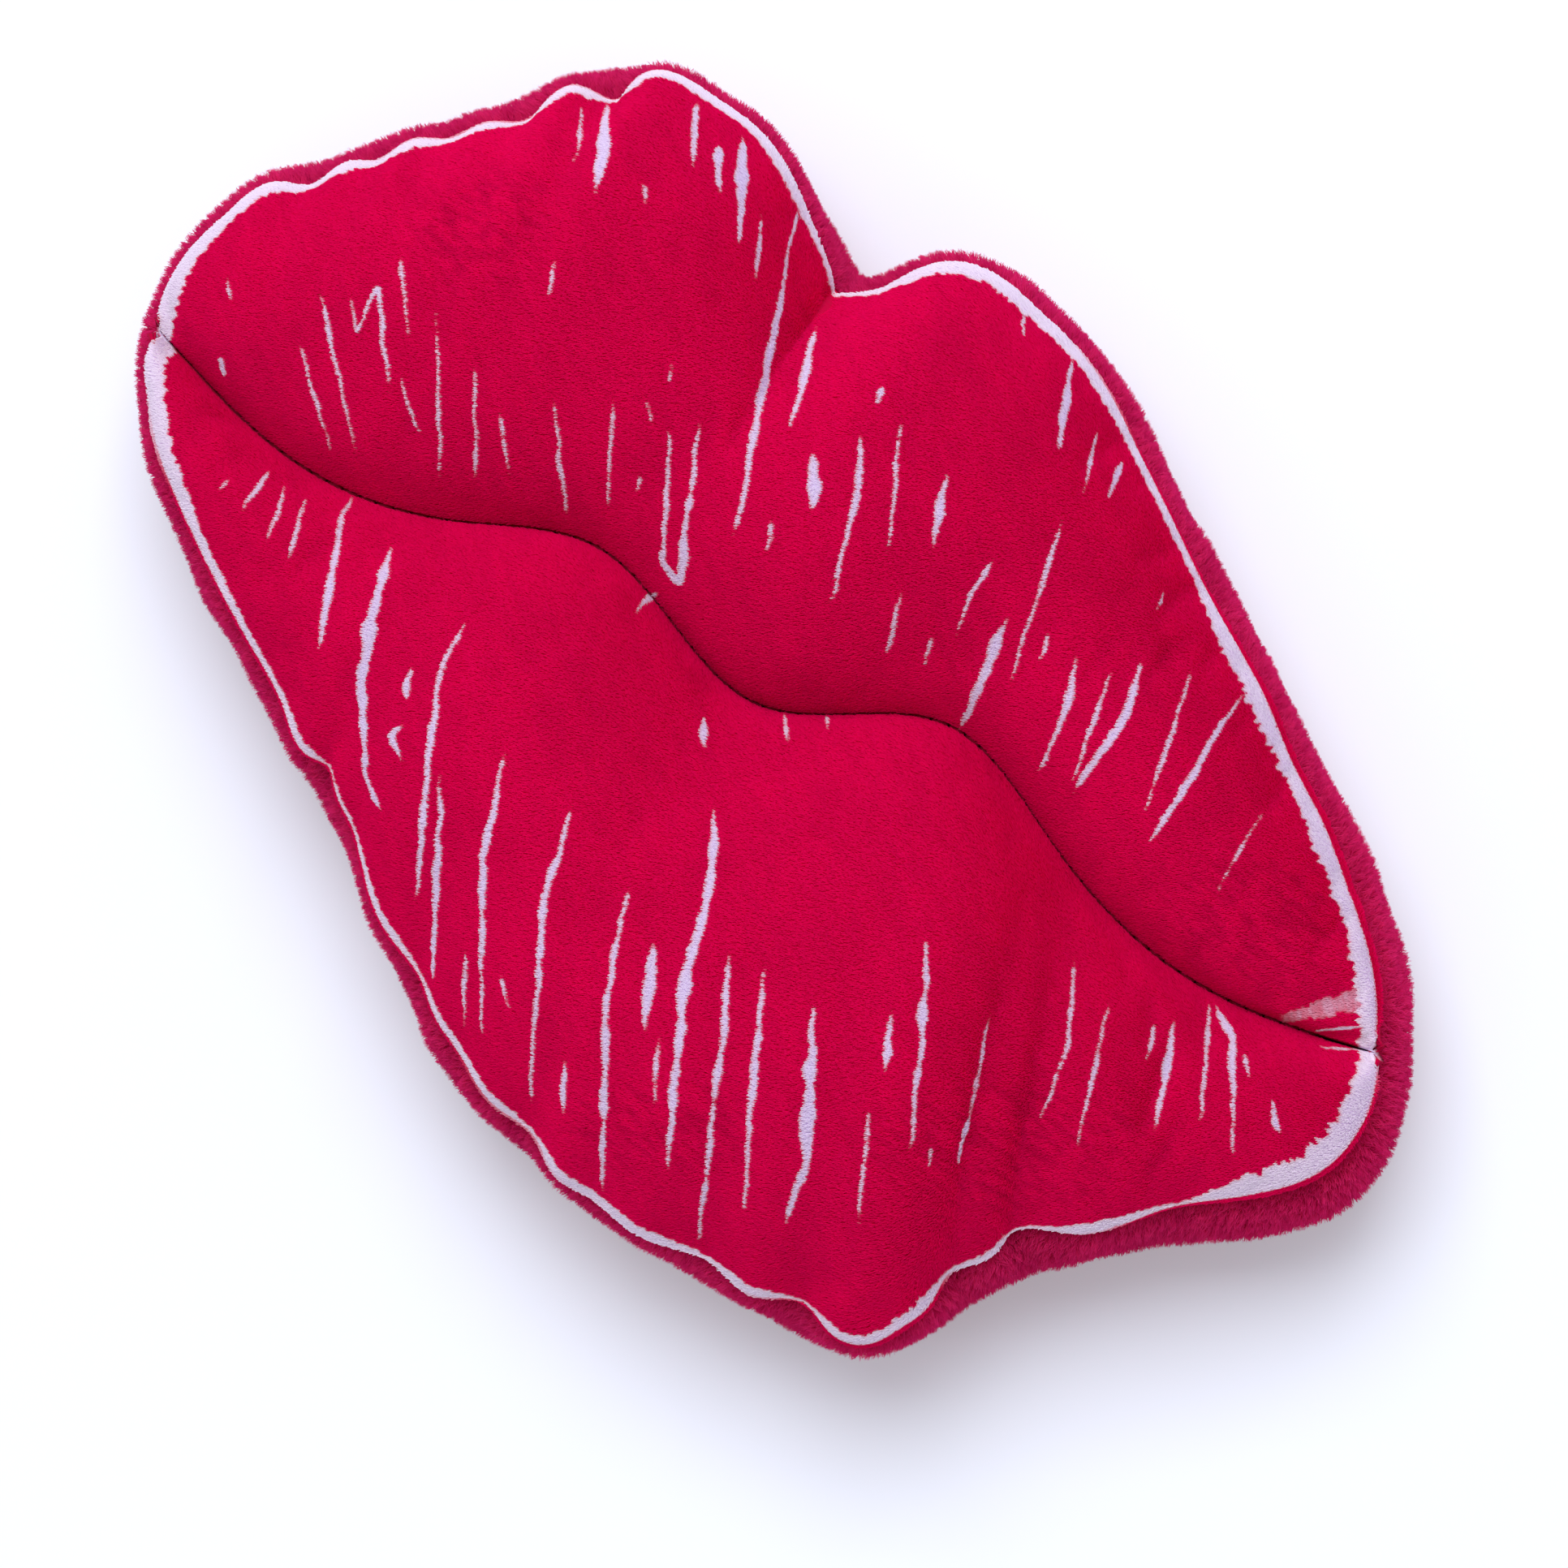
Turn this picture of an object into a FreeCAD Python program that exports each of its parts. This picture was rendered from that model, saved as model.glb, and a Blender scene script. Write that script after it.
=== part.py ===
import FreeCAD, Part
import math
import os

V = FreeCAD.Vector
os.makedirs("parts", exist_ok=True)
doc = FreeCAD.newDocument("plush_lips")

# Sizes in mm, x along the mouth and z up; ends, cheeks, temples, hooks, jaws, lows from their mouth corner
SIZES = {
    "mouth_length": 197.0,
    "left_end_x": -1.9, "left_end_y": 10.0,
    "left_cheek_x": 2.0, "left_cheek_y": 25.0,
    "left_brow_x": -75.0, "left_brow_y": 48.0,
    "left_shoulder_x": -62.0, "left_shoulder_y": 62.3,
    "left_peak_x": -50.0, "left_peak_y": 67.8,
    "left_slope_x": -32.0, "left_slope_y": 62.8,
    "bow_dip_x": -19.3, "bow_dip_y": 52.5,
    "bow_rise_x": -11.0, "bow_rise_y": 60.8,
    "right_peak_x": -1.0, "right_peak_y": 65.6,
    "right_shoulder_x": 14.0, "right_shoulder_y": 62.4,
    "right_brow_x": 36.0, "right_brow_y": 49.6,
    "right_cheek_x": -22.8, "right_cheek_y": 24.3,
    "right_temple_x": -8.0, "right_temple_y": 12.0,
    "right_end_x": 2.9, "right_end_y": -11.0,
    "right_jaw_x": -6.4, "right_jaw_y": -26.2,
    "right_chin_x": 71.0, "right_chin_y": -44.5,
    "tip_side_x": 62.3, "tip_side_y": -60.0,
    "tip_x": 54.0, "tip_y": -71.0,
    "base_right_x": 30.0, "base_right_y": -72.0,
    "base_left_x": -4.0, "base_left_y": -67.6,
    "left_chin_x": -38.0, "left_chin_y": -47.7,
    "left_jaw_x": 18.5, "left_jaw_y": -21.8,
    "left_hook_x": 5.5, "left_hook_y": -11.0,
    "mouth_left_low_x": 26.5, "mouth_left_low_y": -5.0,
    "mouth_left_slope_x": -50.0, "mouth_left_slope_y": -1.0,
    "mouth_left_hump_x": -30.0, "mouth_left_hump_y": 6.0,
    "mouth_middle_x": 1.0, "mouth_middle_y": -1.5,
    "mouth_right_hump_x": 23.5, "mouth_right_hump_y": 9.0,
    "mouth_right_slope_x": 46.0, "mouth_right_slope_y": 2.0,
    "mouth_right_low_x": -25.5, "mouth_right_low_y": -4.2,
    "front_seam_height": 33.0,
    "back_seam_height": 8.0,
    "mouth_rise": 5.0,
    "upper_crown_share": 0.25,
    "lower_crown_share": 0.23,
    "band_bulge": 2.2,
    "back_flat_inset": 15.0,
    "plush": 2.0,
    "full_fold_span": 18.0,
    "fill_end_span": 24.0,
    "least_bow": 0.01,
    "allowance": 6.0,
    "allowance_plush": 1.2,
    "seam_gap": 0.8,
    "thread_width": 0.8,
    "thread_inset": 0.3,
    "clearance": 0.3,
    "thread_clearance": 0.05,
    "squeaker_x": 14.0, "squeaker_y": -36.0,
    "squeaker_height": 14.0,
    "squeaker_diameter": 42.0,
    "squeaker_depth": 15.0,
    "squeaker_wall": 1.0,
    "squeaker_bevel": 4.0,
    "reed_diameter": 7.0,
    "reed_flange": 10.0,
    "reed_flange_depth": 1.2,
    "reed_depth": 8.0,
    "reed_bore": 3.0,
    "stitch_pitch": 4.0,
    "stitch_length": 2.4,
    "stitch_count": 11,
}

sheet = doc.addObject("Spreadsheet::Sheet", "sizes")
for row, name in enumerate(SIZES, 1):
    sheet.set("A%d" % row, name)
    sheet.set("B%d" % row, str(SIZES[name]))
    sheet.setAlias("B%d" % row, name)
doc.recompute()


def size(name):
    return float(sheet.get(name))


def spot(name):
    return V(size(name + "_x"), size(name + "_y"), 0)


plush = size("plush")
allowance = size("allowance")
fold = size("allowance_plush")
half_gap = size("seam_gap") / 2
clearance = size("clearance")
z_front = size("front_seam_height")
z_back = size("back_seam_height")
band_top = z_front - half_gap
band_low = z_back + half_gap


# Lines of the front as sewn: the mouth line, and the outer seam as three curves
def curve_through(points):
    curve = Part.BSplineCurve()
    curve.interpolate(Points=points)
    return curve


corner_left = V(-size("mouth_length") / 2, 0, 0)
corner_right = V(size("mouth_length") / 2, 0, 0)


def run(start, from_left, from_middle, from_right, end):
    points = [corner_left + spot(name) for name in from_left]
    points = points + [spot(name) for name in from_middle]
    points = points + [corner_right + spot(name) for name in from_right]
    return curve_through([start] + points + [end])


bow_dip = spot("bow_dip")
mouth_curve = run(
    corner_left, ["mouth_left_low"],
    ["mouth_left_slope", "mouth_left_hump", "mouth_middle", "mouth_right_hump", "mouth_right_slope"],
    ["mouth_right_low"], corner_right)
upper_left_curve = run(
    corner_left, ["left_end", "left_cheek"],
    ["left_brow", "left_shoulder", "left_peak", "left_slope"], [], bow_dip)
upper_right_curve = run(
    bow_dip, [], ["bow_rise", "right_peak", "right_shoulder", "right_brow"],
    ["right_cheek", "right_temple"], corner_right)
lower_curve = run(
    corner_left, ["left_hook", "left_jaw"],
    ["left_chin", "base_left", "base_right", "tip", "tip_side", "right_chin"],
    ["right_jaw", "right_end"], corner_right)

# Each curve is walked in an even number of steps, so that the outer seam is made of whole arcs
BOW_STEPS = 10
SLOPE_STEPS = 14
LOWER_STEPS = 24
UPPER_STEPS = BOW_STEPS + SLOPE_STEPS

# Stations run from the left mouth corner to the right one, along each lip
upper_seam = upper_left_curve.discretize(Number=BOW_STEPS + 1)
upper_seam = upper_seam + upper_right_curve.discretize(Number=SLOPE_STEPS + 1)[1:]
lower_seam = lower_curve.discretize(Number=LOWER_STEPS + 1)
upper_mouth = mouth_curve.discretize(Number=UPPER_STEPS + 1)
lower_mouth = mouth_curve.discretize(Number=LOWER_STEPS + 1)

END_SHARE = 0.4
SPINE_SHARE = 0.14
NARROW_SHARE = 0.6


def between(a, b, share):
    return a + (b - a) * share


def lip_stations(seam, mouth):
    # Pairs of seam point and mouth point, with a small section just inside each mouth corner
    last = len(seam) - 1
    pairs = [(between(seam[0], seam[1], END_SHARE), between(mouth[0], mouth[1], END_SHARE))]
    for i in range(1, last):
        pairs.append((seam[i], mouth[i]))
    pairs.append((between(seam[last], seam[last - 1], END_SHARE),
                  between(mouth[last], mouth[last - 1], END_SHARE)))
    return pairs


def mouth_height(point):
    share = abs(point.x) / (size("mouth_length") / 2)
    return z_front + half_gap + size("mouth_rise") * math.cos(min(share, 1.0) * math.pi / 2)


# The whole outer seam as one loop, with the direction inwards at each station
spine = mouth_curve.discretize(Number=UPPER_STEPS + 1)
loop = []
inwards = []
rooms = []


def add_station(point, share):
    place = min(max(share, SPINE_SHARE), 1 - SPINE_SHARE) * UPPER_STEPS
    step = int(place)
    across = between(spine[step], spine[step + 1], place - step) - point
    loop.append(point)
    rooms.append(across.Length * NARROW_SHARE)
    inwards.append(across.normalize())


for i in range(UPPER_STEPS + 1):
    add_station(upper_seam[i], i / UPPER_STEPS)
for i in range(LOWER_STEPS - 1, 0, -1):
    add_station(lower_seam[i], i / LOWER_STEPS)


def arc_or_line(start, middle, end):
    bow = (middle - start).cross(end - start).Length / (end - start).Length
    if bow < size("least_bow"):
        return Part.makeLine(start, end)
    return Part.Arc(start, middle, end).toShape()


def ring(inset, height):
    # Closed outline moved inwards by a distance, or by less where the lips narrow, at a height
    points = []
    for point, way, room in zip(loop, inwards, rooms):
        moved = point + way * min(inset, room)
        points.append(V(moved.x, moved.y, height))
    points.append(points[0])
    arcs = []
    for i in range(0, len(points) - 2, 2):
        arcs.append(arc_or_line(points[i], points[i + 1], points[i + 2]))
    return Part.Wire(arcs)


def block(inset, low, high):
    return Part.Face(ring(inset, low)).extrude(V(0, 0, high - low))


def swell(sections):
    return Part.makeLoft([ring(inset, height) for inset, height in sections], True, True)


parts = []


def add_shape(name, shape):
    obj = doc.addObject("Part::Feature", name)
    obj.Label = name
    obj.Shape = shape
    parts.append(obj)
    return obj


# Lip panels: sections from the mouth seam over the crown to the outer seam, both edges turned in
class Section:
    def __init__(self, seam_point, mouth_point, tangent, crown_share):
        self.foot = mouth_point
        across = seam_point - mouth_point
        self.way = V(across.x, across.y, 0).normalize()
        slant = abs(self.way.x * tangent.y - self.way.y * tangent.x)
        self.start = half_gap / max(slant, 0.4)
        self.span = across.Length
        self.scale = min(1.0, self.span / size("full_fold_span"))
        self.room = min((mouth_point - point).Length for point in loop)
        self.a = (self.start, mouth_height(mouth_point))
        self.b = (self.span, z_front + half_gap)
        du = self.b[0] - self.a[0]
        dz = self.b[1] - self.a[1]
        chord = math.hypot(du, dz)
        rise = crown_share * chord
        self.radius = (chord * chord / 4 + rise * rise) / (2 * rise)
        drop = self.radius - rise
        self.centre = ((self.a[0] + self.b[0]) / 2 + dz / chord * drop,
                       (self.a[1] + self.b[1]) / 2 - du / chord * drop)

    def at(self, u, z):
        return V(self.foot.x + self.way.x * u, self.foot.y + self.way.y * u, z)

    def over(self, u, inset):
        # Height of the crown, moved in by a distance, above a point of the section
        r = self.radius - inset
        return self.centre[1] + math.sqrt(max(r * r - (u - self.centre[0]) ** 2, 0.01))

    def out(self, z, inset):
        r = self.radius - inset
        return self.centre[0] + math.sqrt(max(r * r - (z - self.centre[1]) ** 2, 0.01))

    def arc(self, start, end, inset):
        middle = (start[0] + end[0]) / 2
        return Part.Arc(self.at(*start), self.at(middle, self.over(middle, inset)), self.at(*end)).toShape()

    def line(self, start, end):
        return Part.makeLine(self.at(*start), self.at(*end))


def panel_wire(section):
    s = section
    thick = plush * s.scale
    turn = allowance * s.scale
    leaf = fold * s.scale
    # The mouth fold is clipped short where it would meet the band's turned-in edge at the corners
    clipped = s.a[1] - band_top - clearance + max(0.0, s.room - allowance - plush)
    dip = min(turn, clipped)
    seam_in = (s.b[0] - turn, s.b[1])
    seam_top = (s.b[0] - turn, s.b[1] + leaf)
    seam_root = (s.out(s.b[1] + leaf, thick), s.b[1] + leaf)
    mouth_root = (s.a[0] + leaf, s.over(s.a[0] + leaf, thick))
    mouth_end = (s.a[0] + leaf, s.a[1] - dip)
    mouth_low = (s.a[0], s.a[1] - dip)
    return Part.Wire([
        s.arc(s.a, s.b, 0),
        s.line(s.b, seam_in),
        s.line(seam_in, seam_top),
        s.line(seam_top, seam_root),
        s.arc(seam_root, mouth_root, thick),
        s.line(mouth_root, mouth_end),
        s.line(mouth_end, mouth_low),
        s.line(mouth_low, s.a),
    ])


def stuffing_wire(section):
    s = section
    top_inset = plush + clearance
    side = s.b[0] - allowance - 4 * clearance
    low = plush + clearance
    back_in = s.b[0] - size("back_flat_inset") - plush
    above_back = z_back + half_gap + fold + clearance
    below_front = z_front - half_gap - fold - clearance
    puff = allowance - plush + size("band_bulge") / 2
    by_mouth = s.a[0] + fold + clearance
    under_mouth = s.a[1] - allowance - clearance
    middle = clearance / 2
    swell_at = (side + puff, (above_back + below_front) / 2)
    side_arc = Part.Arc(s.at(side, above_back), s.at(*swell_at), s.at(side, below_front)).toShape()
    top_out = (side, s.over(side, top_inset))
    top_in = (by_mouth, s.over(by_mouth, top_inset))
    return Part.Wire([
        s.line((middle, low), (back_in, low)),
        s.line((back_in, low), (side, above_back)),
        side_arc,
        s.line((side, below_front), top_out),
        s.arc(top_out, top_in, top_inset),
        s.line(top_in, (by_mouth, under_mouth)),
        s.line((by_mouth, under_mouth), (middle, under_mouth)),
        s.line((middle, under_mouth), (middle, low)),
    ])


def lip_sections(seam, mouth, crown_share):
    pairs = lip_stations(seam, mouth)
    last = len(pairs) - 1
    result = []
    for i, (outer, inner) in enumerate(pairs):
        ahead = pairs[min(i + 1, last)][1]
        behind = pairs[max(i - 1, 0)][1]
        result.append(Section(outer, inner, (ahead - behind).normalize(), crown_share))
    return result


upper_sections = lip_sections(upper_seam, upper_mouth, size("upper_crown_share"))
lower_sections = lip_sections(lower_seam, lower_mouth, size("lower_crown_share"))
add_shape("upper_lip_panel", Part.makeLoft([panel_wire(s) for s in upper_sections], True, True))
add_shape("lower_lip_panel", Part.makeLoft([panel_wire(s) for s in lower_sections], True, True))

# Side bands: a bulging strip with both long edges turned in, cut at the two mouth corners
bulge = size("band_bulge")
BAND_STRIPS = 5


def band_swell(inset, low, high):
    sections = []
    for i in range(BAND_STRIPS + 1):
        share = i / BAND_STRIPS
        sections.append((inset - bulge * math.sin(share * math.pi), low + (high - low) * share))
    return swell(sections)


def corner_slab(index, width):
    # Upright slab across the band at a mouth corner
    way = inwards[index]
    point = loop[index]
    reach = allowance + plush + bulge
    slab = Part.makeBox(2 * reach, width, z_front, V(-reach, -width / 2, 0))
    slab.rotate(V(0, 0, 0), V(0, 0, 1), math.degrees(math.atan2(way.y, way.x)))
    slab.translate(V(point.x, point.y, 0))
    return slab


CORNERS = [0, UPPER_STEPS]
tube = band_swell(0, band_low, band_top)
tube = tube.cut(band_swell(plush, band_low + fold, band_top - fold))
tube = tube.cut(block(allowance, band_low - fold, band_top + fold))
for index in CORNERS:
    tube = tube.cut(corner_slab(index, size("seam_gap")))
bands = sorted(tube.Solids, key=lambda s: -s.CenterOfMass.y)
add_shape("upper_side_band", bands[0])
add_shape("lower_side_band", bands[1])

# Back panel: a shallow dish with a flat that the toy lies on, its rim turned in at the seam
flat = size("back_flat_inset")
rim_top = z_back - half_gap
BACK_STRIPS = 3


def dish_swell(start, low, end, high):
    # Rounded from a flat at the low height out to the rim at the high one
    sections = []
    for i in range(BACK_STRIPS + 1):
        turn = i / BACK_STRIPS * math.pi / 2
        sections.append((end + (start - end) * (1 - math.sin(turn)), high - (high - low) * math.cos(turn)))
    return swell(sections)


dish = dish_swell(flat, 0, 0, rim_top)
dish = dish.cut(dish_swell(flat + plush / 2, plush, plush, rim_top - fold))
dish = dish.cut(block(allowance, rim_top - 2 * fold, rim_top + fold))
add_shape("back_panel", dish)

# Seam threads
thread_in = size("thread_inset")
thread_out = thread_in + size("thread_width")
thread_half = half_gap - size("thread_clearance")


def seam_ring(height):
    outer = block(thread_in, height - thread_half, height + thread_half)
    return outer.cut(block(thread_out, height - 2 * half_gap, height + 2 * half_gap))


add_shape("front_seam_thread", seam_ring(z_front))


def mouth_thread_wire(section, tangent):
    side = V(-tangent.y, tangent.x, 0) * (thread_half / 2)
    top = section.a[1] - thread_in
    low = top - size("thread_width")
    foot = section.foot
    corners = [V(foot.x + side.x, foot.y + side.y, low), V(foot.x - side.x, foot.y - side.y, low),
               V(foot.x - side.x, foot.y - side.y, top), V(foot.x + side.x, foot.y + side.y, top)]
    return Part.makePolygon(corners + corners[:1])


thread_wires = []
for i in range(1, len(upper_sections) - 1):
    along = upper_sections[i + 1].foot - upper_sections[i - 1].foot
    thread_wires.append(mouth_thread_wire(upper_sections[i], along.normalize()))
add_shape("mouth_seam_thread", Part.makeLoft(thread_wires, True, True))

corner_threads = []
for index in CORNERS:
    thread = corner_slab(index, 2 * thread_half)
    thread = thread.common(band_swell(thread_in, band_low + thread_in, band_top - thread_in))
    thread = thread.cut(band_swell(thread_out, band_low, band_top))
    corner_threads.extend(thread.Solids)
add_shape("corner_seam_threads", Part.makeCompound(corner_threads))

# Stuffing hole in the back seam: the machine seam stops short of it and ladder stitches close it
hole_middle = lower_curve.discretize(Number=5)[1]
hole_index = min(range(len(loop)), key=lambda i: (loop[i] - hole_middle).Length)
hole_way = inwards[hole_index]
along = V(-hole_way.y, hole_way.x, 0)
count = int(size("stitch_count"))
pitch = size("stitch_pitch")
stitch_width = size("thread_width")
stitch_length = size("stitch_length")
hole_length = pitch * (count + 1)
gap_box = Part.makeBox(hole_length, hole_length / 2, 4 * half_gap,
                       V(-hole_length / 2, -hole_length / 4, z_back - 2 * half_gap))
turn_angle = math.degrees(math.atan2(along.y, along.x))
gap_box.rotate(V(0, 0, 0), V(0, 0, 1), turn_angle)
gap_box.translate(loop[hole_index])
add_shape("back_seam_thread", seam_ring(z_back).cut(gap_box))

lower_line = lower_curve.toShape()
stitches = []
for i in range(count):
    target = loop[hole_index] + along * (pitch * (i - (count - 1) / 2))
    near = lower_line.distToShape(Part.Vertex(target))[1][0][0]
    stitch = Part.makeBox(stitch_width, stitch_length, 2 * thread_half,
                          V(-stitch_width / 2, -stitch_length - thread_in, z_back - thread_half))
    stitch.rotate(V(0, 0, 0), V(0, 0, 1), turn_angle)
    stitch.translate(near)
    stitches.append(stitch)
add_shape("closing_stitches", Part.makeCompound(stitches))


# Squeaker: a soft hollow disc, and the reed plug in its mouth
def solid_of(kind, name, formulas):
    obj = doc.addObject(kind, name)
    for prop in formulas:
        obj.setExpression(prop, formulas[prop])
    return obj


def joined(kind, name, base, tool):
    obj = doc.addObject(kind, name)
    obj.Base = base
    obj.Tool = tool
    return obj


def disc(name, grow):
    # Flat disc with a bevelled rim, grown or shrunk by a distance
    reach = size("squeaker_diameter") / 2 + grow
    half = size("squeaker_depth") / 2 + grow
    bevel = size("squeaker_bevel")
    corners = [V(0, 0, -half), V(reach - bevel, 0, -half), V(reach, 0, bevel - half),
               V(reach, 0, half - bevel), V(reach - bevel, 0, half), V(0, 0, half)]
    outline = Part.makePolygon(corners + corners[:1])
    obj = doc.addObject("Part::Feature", name)
    obj.Shape = Part.Face(outline).revolve(V(0, 0, 0), V(0, 0, 1), 360)
    middle = size("squeaker_height") + size("squeaker_depth") / 2
    obj.Placement.Base = V(size("squeaker_x"), size("squeaker_y"), middle)
    return obj


def pin(name, diameter, low, depth):
    return solid_of("Part::Cylinder", name, {
        "Radius": "(" + diameter + ") / 2",
        "Height": depth,
        "Placement.Base.x": "sizes.squeaker_x",
        "Placement.Base.y": "sizes.squeaker_y",
        "Placement.Base.z": low,
    })


disc_top = "sizes.squeaker_height + sizes.squeaker_depth"
plug_low = disc_top + " + sizes.reed_flange_depth - sizes.reed_depth"
bulb_outer = disc("bulb_outer", 0)
bulb_inner = disc("bulb_inner", -size("squeaker_wall"))
bulb_shell = joined("Part::Cut", "bulb_shell", bulb_outer, bulb_inner)
mouth_bore = "sizes.reed_diameter + 2 * sizes.thread_clearance"
bulb_mouth = pin("bulb_mouth", mouth_bore, plug_low, "sizes.reed_depth")
parts.append(joined("Part::Cut", "squeaker_bulb", bulb_shell, bulb_mouth))

plug = pin("reed_plug", "sizes.reed_diameter", plug_low, "sizes.reed_depth")
flange = pin("reed_rim", "sizes.reed_flange", disc_top, "sizes.reed_flange_depth")
blank = joined("Part::Fuse", "reed_blank", plug, flange)
bore = pin("reed_way", "sizes.reed_bore", plug_low, "sizes.reed_depth")
parts.append(joined("Part::Cut", "squeaker_reed", blank, bore))


# Stuffing: fills each lip from the back to the crown, clear of the turned-in edges
def stuffing(sections):
    filled = [s for s in sections if s.span > size("fill_end_span")]
    return Part.makeLoft([stuffing_wire(s) for s in filled], True, True)


add_shape("upper_lip_stuffing", stuffing(upper_sections))
lower_fill = doc.addObject("Part::Feature", "lower_fill")
lower_fill.Shape = stuffing(lower_sections)
disc_pocket = disc("disc_pocket", clearance)
reed_pocket = pin("reed_pocket", "sizes.reed_flange + 2 * sizes.clearance", disc_top,
                  "sizes.reed_flange_depth + sizes.clearance")
lower_fill_cut = joined("Part::Cut", "lower_fill_cut", lower_fill, disc_pocket)
parts.append(joined("Part::Cut", "lower_lip_stuffing", lower_fill_cut, reed_pocket))

doc.recompute()
for obj in doc.Objects:
    if "Invalid" in obj.State or "Error" in obj.State:
        raise RuntimeError(obj.Name + " did not build")
for obj in parts:
    shape = obj.Shape
    if shape.isNull() or not shape.isValid() or not shape.Solids:
        raise RuntimeError(obj.Label + " is not a valid solid")
    shape.exportStep("parts/%s.step" % obj.Label)
    box = shape.BoundBox
    print("%-22s solids %2d  volume %9.1f  x %.1f..%.1f  y %.1f..%.1f  z %.1f..%.1f" % (
        obj.Label, len(shape.Solids), shape.Volume, box.XMin, box.XMax, box.YMin, box.YMax,
        box.ZMin, box.ZMax))
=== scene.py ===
import math

import bmesh
import bpy
import numpy as np
from mathutils import Matrix, Vector
from mathutils.kdtree import KDTree


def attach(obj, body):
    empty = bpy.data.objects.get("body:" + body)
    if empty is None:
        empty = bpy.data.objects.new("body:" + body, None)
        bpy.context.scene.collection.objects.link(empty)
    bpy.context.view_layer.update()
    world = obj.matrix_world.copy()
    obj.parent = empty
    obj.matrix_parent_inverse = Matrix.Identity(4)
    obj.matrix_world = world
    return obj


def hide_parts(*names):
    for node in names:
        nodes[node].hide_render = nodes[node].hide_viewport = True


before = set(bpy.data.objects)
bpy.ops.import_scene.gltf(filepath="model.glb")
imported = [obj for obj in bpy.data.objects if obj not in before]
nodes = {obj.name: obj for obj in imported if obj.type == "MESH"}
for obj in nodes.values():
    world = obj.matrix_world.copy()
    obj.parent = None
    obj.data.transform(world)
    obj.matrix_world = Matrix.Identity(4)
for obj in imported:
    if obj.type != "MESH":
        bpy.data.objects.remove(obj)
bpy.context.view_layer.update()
# Shapes are worked out in millimetres and turned into metres as they become meshes
MM = 0.001
# Points that a seam or the mouth is read at
TRACK = 3000

# Lines of the toy in millimetres as they are sewn: the outer seam with its puckers, and the mouth
LEFT = (-100.0, 1.4)
RIGHT = (97.9, -0.1)
BOW_DIP = (-19.5, 52.9)
UPPER_LEFT = [LEFT, (-100.7, 4.2), (-101.1, 13.2), (-99.1, 20.9), (-95.4, 27.5), (-91.3, 29.4),
              (-88.1, 35.0), (-85.1, 36.9), (-81.8, 42.2), (-77.9, 44.5), (-74.0, 49.3), (-69.4, 52.4),
              (-65.9, 59.8), (-59.9, 61.1), (-57.6, 66.6), (-54.4, 68.0), (-49.1, 68.0), (-41.3, 67.2),
              (-33.4, 63.8), (-27.7, 59.8), (-21.5, 54.9), BOW_DIP]
UPPER_RIGHT = [BOW_DIP, (-14.1, 56.8), (-11.3, 61.0), (-7.0, 64.8), (-1.1, 65.9), (6.1, 64.7), (13.8, 62.7),
               (20.9, 59.5), (27.2, 55.4), (35.6, 49.9), (46.1, 43.0), (55.8, 37.5), (60.7, 34.6),
               (68.6, 28.8), (75.9, 24.1), (83.3, 18.0), (90.1, 11.8), (95.5, 4.7), RIGHT]
LOWER = [LEFT, (-98.4, -3.5), (-95.8, -7.3), (-92.2, -11.8), (-87.7, -15.8), (-80.6, -20.9), (-71.9, -26.4),
         (-63.9, -31.0), (-56.3, -35.8), (-50.4, -39.3), (-47.4, -39.2), (-44.4, -41.7), (-40.0, -44.8),
         (-35.6, -49.0), (-28.3, -54.8), (-21.2, -57.8), (-16.3, -61.5), (-10.8, -64.1), (-3.4, -67.6),
         (3.8, -68.5), (9.6, -71.6), (14.9, -71.7), (22.0, -72.7), (29.8, -71.4), (33.3, -70.8),
         (41.1, -71.8), (47.5, -69.3), (53.6, -71.0), (57.7, -70.1), (61.3, -65.3), (62.9, -60.2),
         (62.9, -55.4), (66.4, -50.8), (67.2, -46.7), (74.3, -42.3), (79.6, -38.1), (84.2, -32.8),
         (92.1, -26.6), (97.1, -22.0), (100.4, -16.8), (101.3, -10.6), (100.1, -4.2), RIGHT]
MOUTH = [LEFT, (-72, -5), (-50, -1), (-30, 6), (1, -1.5), (23.5, 9), (46, 2), (73, -4.2), RIGHT]
BOW_SHARE = 10 / 24
HALF_MOUTH = 98.5
Z_FRONT = 33.0
Z_BACK = 8.0
HALF_GAP = 0.35
MOUTH_RISE = 5.0
UPPER_CROWN = 0.25
LOWER_CROWN = 0.23
BULGE = 2.2
# How far each side band swells past the seam, in millimetres at shares of the seam's length
UPPER_SWELL = [(0, 3.0), (.03, 3.6), (.05, 3.6), (.08, 2.9), (.1, 2.7), (.125, 3.2), (.15, 2.8),
               (.175, 2.3), (.2, 2.9), (.234, 4.0), (.25, 4.3), (.273, 3.9), (.286, 2.8), (.3, 1.2),
               (.34, .6), (.38, .1), (.4, -.4), (.425, .7), (.45, 1.9), (.5, 1.8), (.55, 1.1), (.66, .8),
               (.75, 1.0), (.85, 1.0), (.9, 2.2), (.95, 2.5), (1, 3.0)]
LOWER_SWELL = [(0, 3.0), (.075, 1.8), (.15, 2.5), (.235, 1.5), (.25, 2.2), (.27, 2.3), (.29, 1.6),
               (.33, 1.4), (.38, 2.4), (.42, 2.9), (.445, 2.8), (.475, .8), (.49, 1.2), (.52, .5),
               (.55, .6), (.58, 1.8), (.6, 1.4), (.64, 2.3), (.675, .4), (.7, .4), (.73, 1.8), (.76, 3.4),
               (.79, 2.8), (.825, 1.2), (.85, 2.4), (.9, 4.5), (.93, 4.6), (.96, 3.6), (1, 3.0)]
SEAM_LENGTH = 280
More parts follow.
